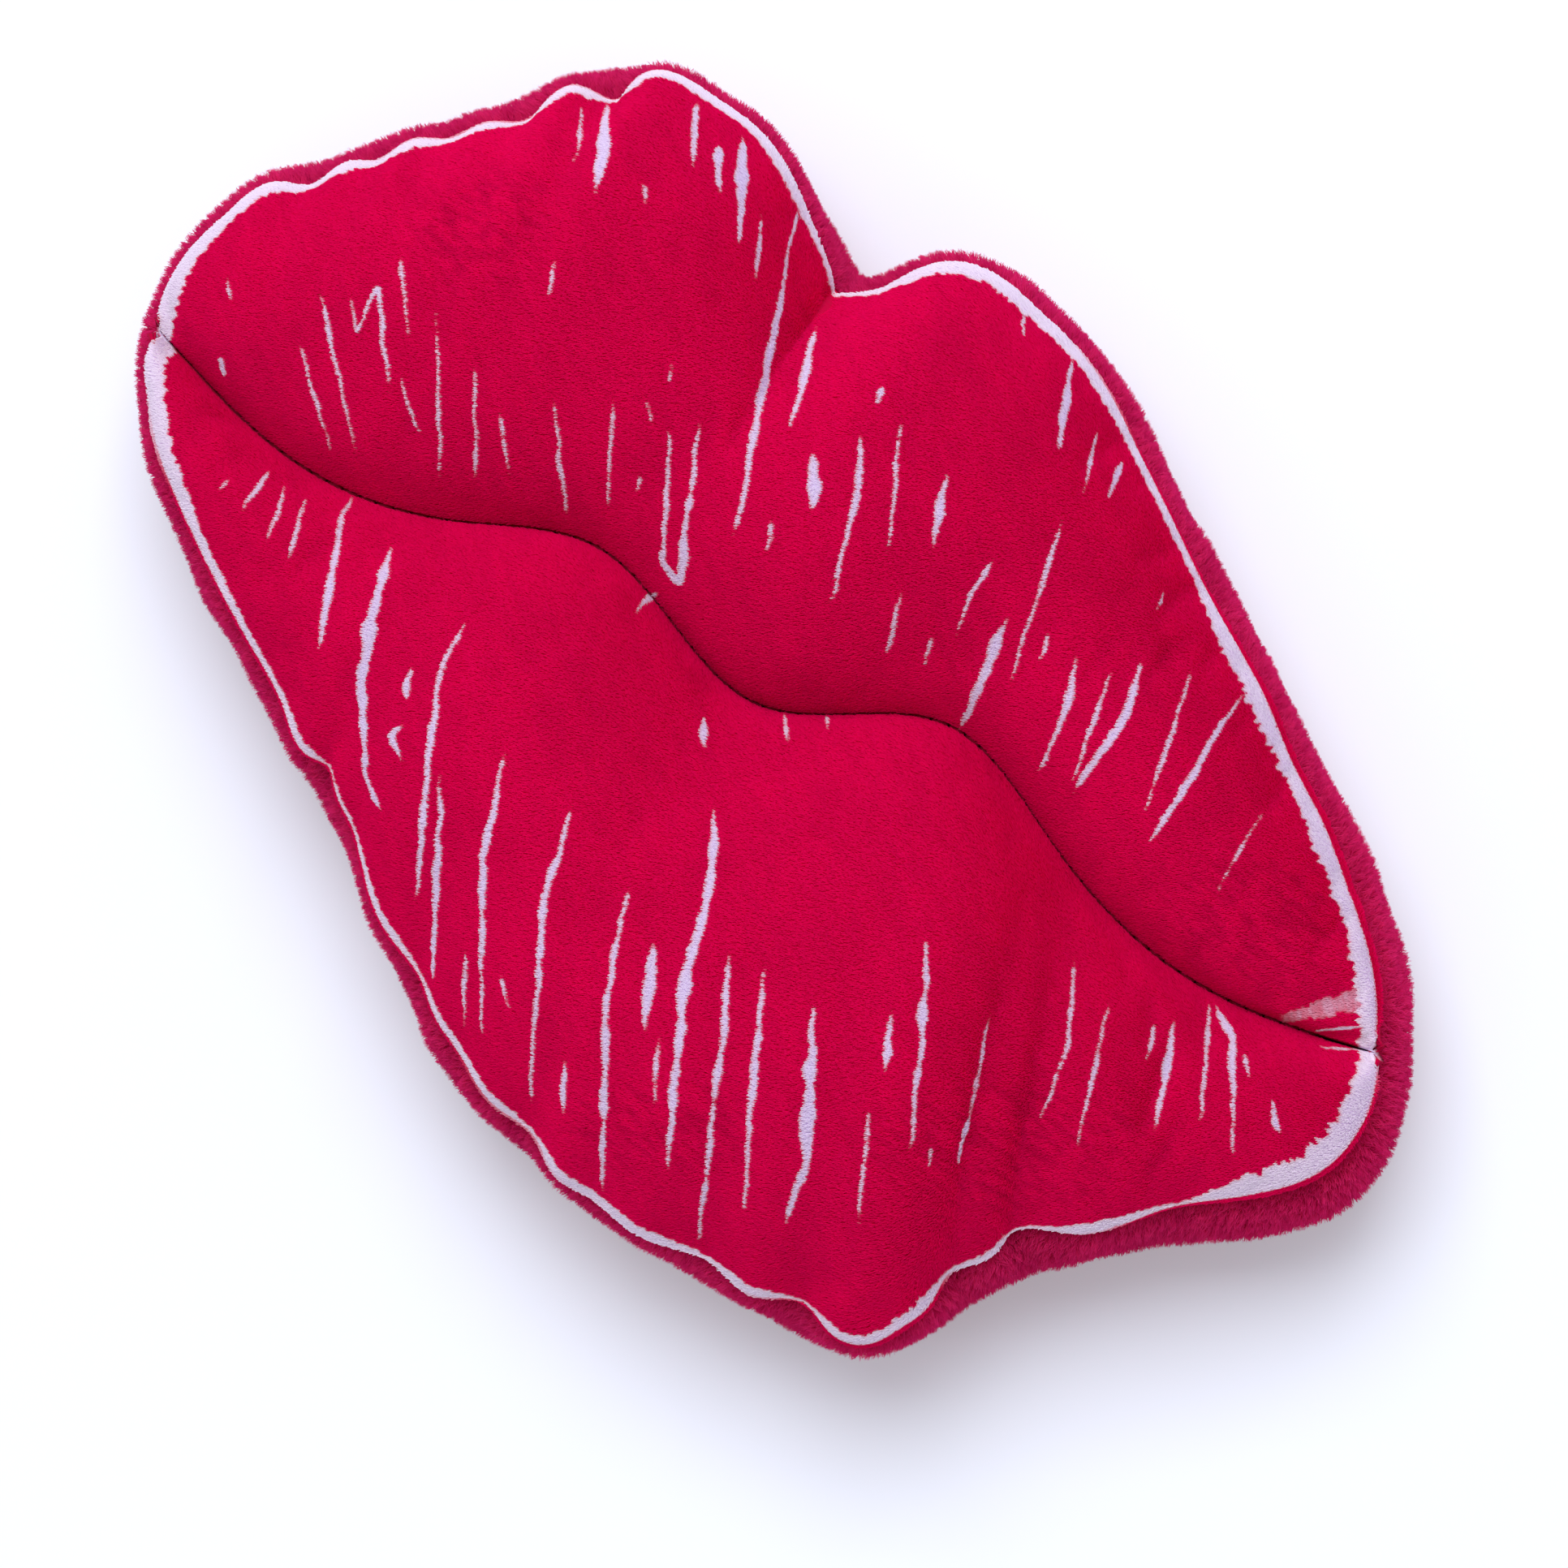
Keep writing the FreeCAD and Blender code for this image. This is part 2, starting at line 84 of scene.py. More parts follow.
FLAT_INSET = 15.0
# Edges turn in at the seams over a small round: its radius, how far off it starts, its angle and its rows
ROLL = 0.8
EDGE_DROP = 1.25 * ROLL
EDGE_TURN = math.radians(150)
EDGE_ROWS = 4
TOY_MIDDLE = np.array([0, -2, 22])

# The photograph's view: image right and down along the floor, how far it leans, and its scale
IMG_RIGHT = np.array([0.8603, 0.5098])
IMG_DOWN = np.array([0.5098, -0.8603])
LEAN = math.tan(math.radians(6.5)) * IMG_RIGHT + math.tan(math.radians(4.5)) * IMG_DOWN
TARGET = np.array([8.75, -9.27, 33.0])
DISTANCE = 1000.0
HALF_VIEW = 108.2
# Half the photograph's width in pixels, millimetres to a pixel, and the pixel of the marks' origin
HALF_PHOTO = 966
PX = 0.112
PX_HOME = np.array([941.0, 855.0])
view_back = np.array([LEAN[0], LEAN[1], 1.0])
view_back /= np.linalg.norm(view_back)
view_right = np.cross([-IMG_DOWN[0], -IMG_DOWN[1], 0.0], view_back)
view_right /= np.linalg.norm(view_right)
view_up = np.cross(view_back, view_right)
eye = TARGET + view_back * DISTANCE


def run_of(points):
    """Length along a line of points, up to each of them."""
    return np.concatenate([[0], np.cumsum(np.linalg.norm(np.diff(points, axis=0), axis=1))])


def spline(points):
    """Natural cubic through the points, as a function of the share of its length."""
    p = np.array(points, float)
    k = run_of(p)
    h = np.diff(k)
    n = len(p)
    a = np.eye(n)
    b = np.zeros((n, 2))
    for i in range(1, n - 1):
        a[i, i - 1:i + 2] = [h[i - 1], 2 * (h[i - 1] + h[i]), h[i]]
        b[i] = 6 * ((p[i + 1] - p[i]) / h[i] - (p[i] - p[i - 1]) / h[i - 1])
    m = np.linalg.solve(a, b)
    t = np.linspace(0, k[-1], TRACK)
    i = np.clip(np.searchsorted(k, t, side="right") - 1, 0, n - 2)
    d = (t - k[i])[:, None]
    e = (k[i + 1] - t)[:, None]
    g = h[i][:, None]
    xy = (m[i] * e ** 3 + m[i + 1] * d ** 3) / (6 * g)
    xy += (p[i] / g - m[i] * g / 6) * e + (p[i + 1] / g - m[i + 1] * g / 6) * d
    run = run_of(xy)
    share = run / run[-1]
    return lambda s: np.stack([np.interp(s, share, xy[:, 0]), np.interp(s, share, xy[:, 1])], -1)


bow_left = spline(UPPER_LEFT)
bow_right = spline(UPPER_RIGHT)
lower_seam = spline(LOWER)
mouth_line = spline(MOUTH)
MOUTH_TRACK = mouth_line(np.linspace(0, 1, TRACK))


def upper_seam(s):
    """The upper lip's outer seam, in two runs that meet in the bow's dip."""
    s = np.asarray(s, float)
    left = bow_left(np.clip(s / BOW_SHARE, 0, 1))
    right = bow_right(np.clip((s - BOW_SHARE) / (1 - BOW_SHARE), 0, 1))
    return np.where((s < BOW_SHARE)[..., None], left, right)


def mouth_height(line):
    """Height of the panels' edges over points of the mouth line."""
    middle = np.cos(np.minimum(np.abs(line[:, 0]) / HALF_MOUTH, 1) * math.pi / 2)
    return Z_FRONT + HALF_GAP + MOUTH_RISE * middle


def unit(v):
    return v / np.maximum(np.linalg.norm(v, axis=-1, keepdims=True), 1e-9)


def smooth(a, b, x):
    """Soft step from 0 at a to 1 at b."""
    t = np.clip((x - a) / (b - a), 0, 1)
    return t * t * (3 - 2 * t)


def blur(values, sigma):
    """Gaussian blur of rows along the first axis, with its ends held."""
    r = int(3 * sigma) + 1
    k = np.exp(-0.5 * (np.arange(-r, r + 1) / sigma) ** 2)
    k /= k.sum()
    v = np.asarray(values, float)
    flat = v.reshape(len(v), -1)
    pad = np.pad(flat, ((r, r), (0, 0)), mode="reflect", reflect_type="odd")
    out = np.stack([np.convolve(pad[:, c], k, "valid") for c in range(flat.shape[1])], -1)
    return out.reshape(v.shape)


def lattice(x, y, pitch, seed):
    """Soft random field of about -1 to 1."""
    g = np.random.default_rng(seed).random((256, 256)) * 2 - 1
    x = x / pitch + 128
    y = y / pitch + 128
    i = np.floor(x).astype(int)
    j = np.floor(y).astype(int)
    fx = smooth(0, 1, x - i)
    fy = smooth(0, 1, y - j)
    i %= 255
    j %= 255
    low = g[i, j] * (1 - fx) + g[i + 1, j] * fx
    high = g[i, j + 1] * (1 - fx) + g[i + 1, j + 1] * fx
    return low * (1 - fy) + high * fy


def grid_normals(p):
    """Normals of a grid of points, pointing away from the middle of the toy."""
    n = unit(np.cross(np.gradient(p, axis=0), np.gradient(p, axis=1)))
    if np.mean(np.sum(n * (p - TOY_MIDDLE), -1)) < 0:
        n = -n
    return n


def plan_tree(points):
    """Search tree of points in plan."""
    tree = KDTree(len(points))
    for i, q in enumerate(points):
        tree.insert((q[0], q[1], 0), i)
    tree.balance()
    return tree


def quads_of(i):
    """Faces between the neighbours in a grid of point numbers."""
    return np.stack([i[:-1, :-1], i[1:, :-1], i[1:, 1:], i[:-1, 1:]], -1).reshape(-1, 4)


def place(name, data):
    """New object in the scene."""
    obj = bpy.data.objects.new(name, data)
    bpy.context.scene.collection.objects.link(obj)
    return obj


def shade_smooth(mesh):
    mesh.polygons.foreach_set("use_smooth", np.ones(len(mesh.polygons), bool))


# Marks of the print, as lines of points in millimetres in the plane of the front seam
THIN = [
    (-63.1, 57.4, -59.5, 49.5), (-34.4, 57.4, -29.9, 48.4), (-81, 16.6, -64.2, -1.3),
    (-77.3, 18.8, -73.7, 14, -74.6, 21.5, -65.6, 9.4), (-74.2, 26.5, -67.1, 17.2),
    (-57.6, 18.8, -49.2, 5.2), (-46, 20.3, -35.3, 6.6), (-38.9, 24.5, -31.3, 10.5),
    (-3.1, 42.7, -2.1, 40.2, 5, 25), (17.9, 32.6, 17.4, 26.9, 18.8, 20), (23.2, 42, 26.8, 25.5, 28.4, 18.8),
    (9, 22.8, 9.9, 19.4, 11.8, 12.7), (39.5, 27.7, 43, 11.2), (49.2, 33.4, 53.8, 12.3),
    (21, 55.4, 24.1, 46.4), (-74.3, -7.7, -74.9, -15.3), (-71.4, -8.7, -69.6, -16.9),
    (-68.3, -8.3, -66, -17.9), (-17.8, -50.8, -11.7, -61.1), (11.4, -47.4, 16, -57.1),
    (41.5, -41.2, 48.6, -57), (49.4, -21.8, 52.4, -30.8, 56.2, -43.2), (55.3, -9, 60.5, -19.7, 62.9, -31.6),
    (62.4, -11.7, 64.7, -18.8, 69.2, -32.4), (69.5, -11.4, 71.3, -16.4), (74.5, -4.9, 82.1, -20.2),
    (51.7, -42, 53.1, -44.3), (4, -0.9, 6.3, -4.1)]
THICK = [
    (-60.5, 59.7, -58.1, 54.8, -55.4, 47.2), (-44.1, 62.1, -40.7, 56.3), (-42.1, 65.1, -34.3, 51.3),
    (-11.2, 32.4, -6.8, 25), (23.4, 26.6, 25.5, 13.2, 25.5, 9.3), (42.2, 30.7, 44.5, 22.9, 43.4, 10.1),
    (-54.5, -8, -52.2, -18.2, -48, -28, -41.7, -37.3, -37.1, -40.9), (4.4, -36.8, 9.4, -48.6),
    (2.1, -16.5, 8.1, -29.2, 10.5, -39.3, 22.1, -63.5), (27.7, -33.1, 38.1, -53.2, 39.8, -61.8)]
MID = [
    (-49.9, 66, -45.4, 57.1), (-30.4, 60.5, -22.7, 39.3, -14.5, 16.5),
    (-19.7, 47.6, -18, 42.3, -15.6, 32.9), (-30, 25.2, -21.4, 8.6, -17.7, 7, -26.9, 27.8),
    (-88.2, 1.8, -86.3, 0), (-7, 38, -3.2, 30.9, -1.6, 25.7, 1.8, 15.4), (-7.6, 45, -7.3, 42.4),
    (5.8, 39.8, 8, 33.8, 9.7, 28.9), (34.4, 26.9, 37.1, 18.5, 38.4, 9.7), (56.7, 34.4, 56.2, 9.2),
    (12.8, 62.1, 18.1, 49.2), (26, 52.9, 27, 47.4), (-62.5, -4.9, -62.8, -8.2, -55.8, -26.6),
    (-40.6, -11.7, -39.8, -20.9, -34.5, -33.1, -26.7, -49), (-43.4, -21.4, -43.5, -23.8, -41.6, -25.8),
    (-40.5, -29.1, -41.4, -31.4, -38.1, -33), (-32.9, -31.9, -24, -48.2, -19, -57.6),
    (-26.8, -24.7, -21.7, -39.2, -9.4, -60.5), (-14.9, -26.5, -11.4, -40.7, 1.1, -65.1),
    (-2.5, -32.3, 2.8, -47.8, 15.8, -70.3), (13.9, -32.7, 18.9, -42.9, 30.9, -69.8),
    (19.2, -31.8, 25.7, -46.6, 34.3, -63.2), (2.2, -57.4, 5.7, -63.9), (-5.5, -7, -3.7, -10.7),
    (-19.9, 4.9, -21.2, 0.6), (36.2, -17.2, 43.8, -31.2, 49.7, -44), (37.4, -28.5, 41, -36.4),
    (71.5, -9.5, 77.3, -24.5), (75, -5, 79.7, -7.7, 88.6, -22.5), (82.5, -9, 84.6, -11.1),
    (88.5, -12.1, 91.8, -16.3)]
FAINT = [
    (-11.2, 21.6, -9.4, 17.2), (-66.2, 23, -53.3, 2.4), (-80.3, 9.3, -68, -2), (-92.8, 11.6, -91.4, 9.2),
    (-55.6, 37.1, -53.1, 31.6), (15.9, 19.1, 16.8, 14.3), (29.3, 27.7, 30.7, 23.3), (3.7, 64.4, 4.9, 60.6),
    (40, 40.4, 40.8, 37.7), (67.8, 21.7, 67.3, 15.9, 67.8, 7), (-78.8, -12, -78.7, -14.1),
    (-11.6, -51.6, -8.3, -55.2), (9, 2.1, 10, 0.1), (87.7, -2.1, 95.4, 3.5), (90.3, -3.1, 97, 0.2),
    (-65.9, 12.4, -58.6, 6.1), (-51.9, 15.9, -45.5, 7.9), (-34.6, 26.8, -32.2, 24.1),
    (-29.8, 17.3, -29.3, 15.2), (-34.3, 33, -33.4, 30.5), (-50.1, 52.5, -48.4, 49.9)]
# Each kind of mark with its half width in millimetres, its strength, and the least of it along a mark
MARK_KINDS = ((THICK, 0.84, 1, 0.85), (MID, 0.52, 1, 0.85),
              (THIN, 0.31, 0.95, 0.45), (FAINT, 0.24, 0.8, 0.45))
MARK_MARGIN = 1.6
SMEAR_FROM = (84.1, -2.4)
SMEAR_BOX = (80, 96, -6, 9)
SMEAR_INK = 0.55
DIAGONAL = 0.7071
# The field that the marks are drawn in: the size of its cells and its reach, in millimetres
CELL = 0.1
X0, X1, Y0, Y1 = -110.0, 112.0, -84.0, 78.0


def draw_marks():
    """The print's marks as a field of 0 to 1, worked out from the lines above."""
    field = np.zeros((int((X1 - X0) / CELL), int((Y1 - Y0) / CELL)), np.float32)
    dice = np.random.default_rng(7)
    for marks, half, strength, least in MARK_KINDS:
        for mark in marks:
            pts = np.array(mark).reshape(-1, 2)
            run = run_of(pts)
            length = run[-1]
            k = max(8, int(length / 0.4))
            t = np.linspace(0, 1, k)
            mid = np.stack([np.interp(t * length, run, pts[:, c]) for c in range(2)], -1)
            mid = blur(mid, 1.6)
            side = unit(np.gradient(mid, axis=0))[:, ::-1] * [1, -1]
            mid = mid + side * blur(dice.normal(0, 0.3, k), 2.5)[:, None]
            peak = dice.uniform(0.2, 0.7)
            taper = min(2.5, 0.22 * length)
            wedge = np.where(t < peak, t / peak, (1 - t) / (1 - peak))
            wide = half * (0.3 + 0.7 * wedge) * (1 + 0.45 * blur(dice.normal(0, 1, k), 1.5))
            wide *= smooth(-0.5, taper, t * length) * smooth(-0.5, taper, (1 - t) * length)
            whole = np.clip(1.0 + 0.6 * blur(dice.normal(0, 1, k), 2.0), least, 1)
            whole *= smooth(-1.0, taper, t * length) * smooth(-1.0, taper, (1 - t) * length)
            for a, b, wa, wb, full in zip(mid[:-1], mid[1:], wide[:-1], wide[1:], whole):
                lo = ((np.minimum(a, b) - MARK_MARGIN - [X0, Y0]) / CELL).astype(int)
                hi = ((np.maximum(a, b) + MARK_MARGIN - [X0, Y0]) / CELL).astype(int)
                lo = np.maximum(lo, 0)
                x = X0 + (np.arange(lo[0], hi[0]) + 0.5) * CELL
                y = Y0 + (np.arange(lo[1], hi[1]) + 0.5) * CELL
                gx, gy = np.meshgrid(x, y, indexing="ij")
                ab = b - a
                u = np.clip(((gx - a[0]) * ab[0] + (gy - a[1]) * ab[1]) / (ab @ ab), 0, 1)
                d = np.hypot(gx - a[0] - u * ab[0], gy - a[1] - u * ab[1])
                w = wa + (wb - wa) * u + 0.10 * lattice(gx, gy, 0.45, 11)
                v = strength * full * smooth(0.12, -0.10, d - w)
                box = field[lo[0]:hi[0], lo[1]:hi[1]]
                np.maximum(box, v[:box.shape[0], :box.shape[1]], out=box)
    # The smear above the right mouth corner, brushed in short hairs across its length
    x = X0 + (np.arange(field.shape[0]) + 0.5) * CELL
    y = Y0 + (np.arange(field.shape[1]) + 0.5) * CELL
    i = slice(int((SMEAR_BOX[0] - X0) / CELL), int((SMEAR_BOX[1] - X0) / CELL))
    j = slice(int((SMEAR_BOX[2] - Y0) / CELL), int((SMEAR_BOX[3] - Y0) / CELL))
    gx, gy = np.meshgrid(x[i], y[j], indexing="ij")
    along = ((gx - SMEAR_FROM[0]) + (gy - SMEAR_FROM[1])) * DIAGONAL
    over = ((gy - SMEAR_FROM[1]) - (gx - SMEAR_FROM[0])) * DIAGONAL
    reach = (0.7 + 0.07 * along) * (1 + 0.35 * lattice(along, over * 0, 0.4, 5))
    smear = SMEAR_INK * smooth(reach + 0.3, reach - 0.3, np.abs(over))
    smear = smear * smooth(-0.5, 1.2, along) * smooth(12.4, 11.4, along)
    smear *= 0.85 + 0.15 * lattice(along, over * 0.2, 0.3, 6)
    np.maximum(field[i, j], smear, out=field[i, j])
    return field


marks_field = draw_marks()


def marks_at(p):
    """The print's marks at points in space: each lies where the photograph's view puts it."""
    v = p - eye
    f = DISTANCE / -(v @ view_back)
    across = v @ view_right * f
    down = -(v @ view_up) * f
    px = HALF_PHOTO * (1 + across / HALF_VIEW) - PX_HOME[0]
    py = HALF_PHOTO * (1 + down / HALF_VIEW) - PX_HOME[1]
    x = (px * IMG_RIGHT[0] + py * IMG_DOWN[0]) * PX
    y = (px * IMG_RIGHT[1] + py * IMG_DOWN[1]) * PX
    i = np.clip((x - X0) / CELL - 0.5, 0, marks_field.shape[0] - 1.01)
    j = np.clip((y - Y0) / CELL - 0.5, 0, marks_field.shape[1] - 1.01)
    a = i.astype(int)
    b = j.astype(int)
    i -= a
    j -= b
    low = marks_field[a, b] * (1 - i) + marks_field[a + 1, b] * i
    high = marks_field[a, b + 1] * (1 - i) + marks_field[a + 1, b + 1] * i
    return low * (1 - j) + high * j


# The white edge of the print from left to right: shares of the seam's length, and where it starts and ends
# there in millimetres in from the seam
UPPER_EDGE = [(0, 0, 2.1), (.06, 0, 1.7), (.1, 0, 1.35), (.17, .1, 1.2), (.22, .1, 1.1), (.3, .1, 1.0),
              (.36, 0, .8), (.4167, 0, .7), (.47, 0, 1.0), (.5, 0, 1.6), (.56, 0, 1.5), (.62, .1, 1.1),
              (.7, .2, 1.0), (.74, .3, 1.2), (.78, .5, 2.4), (.82, .8, 2.8), (.86, .9, 2.6), (.9, .8, 2.8),
              (.94, .6, 2.5), (1, .3, 2.5)]
LOWER_EDGE = [(0, 0, 2.4), (.06, .1, 2.0), (.1, .2, 1.6), (.14, .2, 1.2), (.25, .2, .9), (.38, .2, .9),
              (.46, .1, .85), (.58, 0, .8), (.62, .1, .8), (.7, .4, 1.2), (.74, 0, .9), (.78, 0, .6),
              (.82, .1, 1.0), (.86, .3, .9), (.9, .6, 2.8), (.94, .5, 3.7), (.97, .2, 3.0), (1, .1, 2.4)]

# Rows of a panel's grid that are tucked down into the mouth, as depth in millimetres and share of the gap,
# and the number of those that turn round into the outer seam
TUCK_DEPTH = np.array([4.0, 3.0, 2.0, 1.2, 0.6, 0.2])
TUCK_SHARE = np.array([0.25, 0.25, 0.3, 0.45, 0.65, 0.85])
TUCK_ROWS = len(TUCK_DEPTH)
TURN_ROWS = 8
SEAM_TURN = math.radians(165)
# Relief of the panels, as height and reach or pitch in millimetres
PUCKER_SPAN = 8.0
PUCKER = (0.6, 3.4)
FINE_PUCKER = (0.28, 4)
MOUTH_GATHER = (0.45, 7)
LUMP = (0.55, 27)
SMALL_LUMP = (0.22, 11)


class Lip:
    """One printed panel: a grid of points from the mouth over the crown and round into the outer seam."""

    def __init__(self, seam, crown, crease, bow, edge, n, m, seed):
        self.seam = seam
        self.edge = np.array(edge)
        self.line = seam(np.linspace(0, 1, TRACK))
        self.run = run_of(self.line)
        tangent = unit(np.gradient(self.line, axis=0))
        out = np.stack([tangent[:, 1], -tangent[:, 0]], -1)
        self.out = out * np.sign(np.sum(out * (self.line - MOUTH_TRACK), 1))[:, None]
        self.out[0] = self.out[1]
        self.out[-1] = self.out[-2]
        evened = blur(self.line, PUCKER_SPAN / (self.run[-1] / TRACK))
        self.drawn = np.sum((self.line - evened) * self.out, 1)
        self.jag = np.random.default_rng(seed).random(4000) * 2 - 1
        self.tree = plan_tree(self.line)
        self.points = self.shape(np.linspace(0.0015, 0.9985, n), crown, crease, bow, m, seed)

    def shape(self, s, crown, crease, bow, m, seed):
        """The panel's grid: an arc over each line from mouth to seam, with its edges, crease and puckers."""
        outer = self.seam(s)
        inner = mouth_line(s)
        tangent = unit(np.gradient(inner, axis=0))
        across = outer - inner
        span = np.linalg.norm(across, axis=1)
        way = across / span[:, None]
        slant = np.abs(way[:, 0] * tangent[:, 1] - way[:, 1] * tangent[:, 0])
        start = np.minimum(HALF_GAP / np.maximum(slant, 0.4), span * 0.2)
        z_mouth = mouth_height(inner)
        z_seam = np.full(len(s), Z_FRONT + 1.6 * ROLL)
        du = span - start
        dz = z_seam - z_mouth
        chord = np.hypot(du, dz)
        rise = crown * chord
        radius = (chord ** 2 / 4 + rise ** 2) / (2 * rise)
        drop = radius - rise
        cu = (start + span) / 2 + dz / chord * drop
        cz = (z_mouth + z_seam) / 2 - du / chord * drop
        a0 = np.arctan2(z_mouth - cz, start - cu)
        a1 = np.arctan2(z_seam - cz, span - cu)
        t = np.linspace(0, 1, m - TUCK_ROWS - TURN_ROWS)
        ang = a0[:, None] + (a1 - a0)[:, None] * t
        u = cu[:, None] + radius[:, None] * np.cos(ang)
        z = cz[:, None] + radius[:, None] * np.sin(ang)
        # Down into the mouth
        u_in = start[:, None] * TUCK_SHARE
        z_in = z_mouth[:, None] - TUCK_DEPTH * np.minimum(1, span / 12)[:, None]
        # Round into the outer seam
        lean = (math.pi / 2 - a1)[:, None]
        turn = np.linspace(0, SEAM_TURN - lean[:, 0], TURN_ROWS + 1)[1:].T
        u_out = span[:, None] + ROLL * (np.sin(lean + turn) - np.sin(lean))
        z_out = z_seam[:, None] + ROLL * (np.cos(lean + turn) - np.cos(lean))
        # The panels turn down more steeply close to the mouth seam
        deep = crease[0] * np.minimum(1, span / 16)[:, None]
        reach = np.minimum(crease[1], 0.5 * span)[:, None]
        z -= deep * np.maximum(0, 1 - (u - start[:, None]) / reach) ** 2
        z_in -= deep
        u = np.concatenate([u_in, u, u_out], 1)
        z = np.concatenate([z_in, z, z_out], 1)
        xy = inner[:, None, :] + way[:, None, :] * u[..., None]
        p = np.concatenate([xy, z[..., None]], -1)
        # No hard valley runs down from the bow's dip
        step = self.run[-1] / len(s)
        dip = 0.8 * np.exp(-((s - BOW_SHARE) * self.run[-1] / 16) ** 2)[:, None] * bow
        inside = smooth(1.5, 9, span[:, None] - u) * dip
        p[..., 2] += (blur(p[..., 2], 5.5 / step) - p[..., 2]) * inside
        # Puckers: fullness between the places where the seam is drawn in, dying away up the panel
        evened = blur(outer, PUCKER_SPAN / step)
        out = unit(np.stack([tangent[:, 1], -tangent[:, 0]], -1))
        out *= np.sign(np.sum(out * way, 1))[:, None]
        from_end = np.minimum(self.run[-1] * s, self.run[-1] * (1 - s))
        drawn = np.sum((outer - evened) * out, 1) * smooth(0, 6, from_end)
        dice = np.random.default_rng(seed + 50)
        fine = blur(dice.normal(0, 1, len(s)), 1.6 / step) * 1.3
        close = blur(dice.normal(0, 1, len(s)), 2.6 / step) * 2.0
        to_seam = np.maximum(span[:, None] - u, 0)
        to_mouth = np.maximum(u - start[:, None], 0)
        lift = PUCKER[0] * drawn[:, None] * np.exp(-to_seam / PUCKER[1])
        lift += (FINE_PUCKER[0] * fine[:, None] * np.exp(-to_seam / FINE_PUCKER[1])
                 * smooth(0.5, 3, to_seam))
        lift += (MOUTH_GATHER[0] * close[:, None] * np.exp(-to_mouth / MOUTH_GATHER[1])
                 * smooth(0.3, 3, to_mouth))
        lift += (LUMP[0] * lattice(p[..., 0], p[..., 1], LUMP[1], seed + 3)
                 + SMALL_LUMP[0] * lattice(p[..., 0], p[..., 1], SMALL_LUMP[1], seed + 4))
        lift *= smooth(0, 9, span)[:, None] * smooth(-0.5, 2.5, np.minimum(to_seam, to_mouth))
        return p + grid_normals(p) * lift[..., None]

    def edge_at(self, p):
        """The white edge at points in space, from how far in from the seam they lie in plan."""
        flat = p.reshape(-1, 3)
        k = np.array([self.tree.find((q[0], q[1], 0))[1] for q in flat])
        inward = -np.sum((flat[:, :2] - self.line[k]) * self.out[k], 1)
        near = np.linalg.norm(flat[:, :2] - self.line[k], axis=1) * (inward > 0)
        arc = self.run[k]
        share = arc / self.run[-1]
        start = np.interp(share, self.edge[:, 0], self.edge[:, 1])
        end = np.interp(share, self.edge[:, 0], self.edge[:, 2])
        end = end + (np.clip(1 + 0.6 * self.drawn[k], 0.5, 1.3) - 1) * np.minimum(end, 1.2)
        full = 0.75 + 0.25 * smooth(0.4, 1.2, end - start)
        tooth = np.interp(arc, np.arange(len(self.jag)) * 0.5, self.jag)
        end = end + tooth * (0.16 + 0.22 * np.maximum(end - 1.0, 0))
        value = full * smooth(start - 0.25, start + 0.05, near) * smooth(end + 0.18, end - 0.18, near)
        return value.reshape(p.shape[:-1])


# How deep each panel's crease along the mouth is, and how far up the panel it reaches, in millimetres
UPPER_CREASE = (3.2, 8.0)
LOWER_CREASE = (2.8, 4.5)
LIP_GRID = (705, 185)
upper = Lip(upper_seam, UPPER_CROWN, UPPER_CREASE, 1, UPPER_EDGE, *LIP_GRID, 21)
lower = Lip(lower_seam, LOWER_CROWN, LOWER_CREASE, 0, LOWER_EDGE, *LIP_GRID, 22)

# The cloth simulation: its size against millimetres, the most a point may move in millimetres, the steps
# between the grid's points that it takes, and its length
CLOTH_UNIT = 0.01
CLOTH_CAP = 3.0
CLOTH_STEPS = (4, 5)
CLOTH_FRAMES = 20
CLOTH_SETTINGS = {"quality": 6, "mass": 0.3, "tension_stiffness": 20, "compression_stiffness": 20,
                  "shear_stiffness": 8, "bending_stiffness": 1.5, "vertex_group_mass": "seam",
                  "use_pressure": True, "uniform_pressure_force": 4, "shrink_min": -0.01}


def finer(values, count, step):
    """Rows of values, filled in evenly between them up to a count."""
    at = np.arange(count) / step
    k = np.minimum(at.astype(int), len(values) - 2)
    return values[k] + (values[k + 1] - values[k]) * (at - k)[:, None, None]


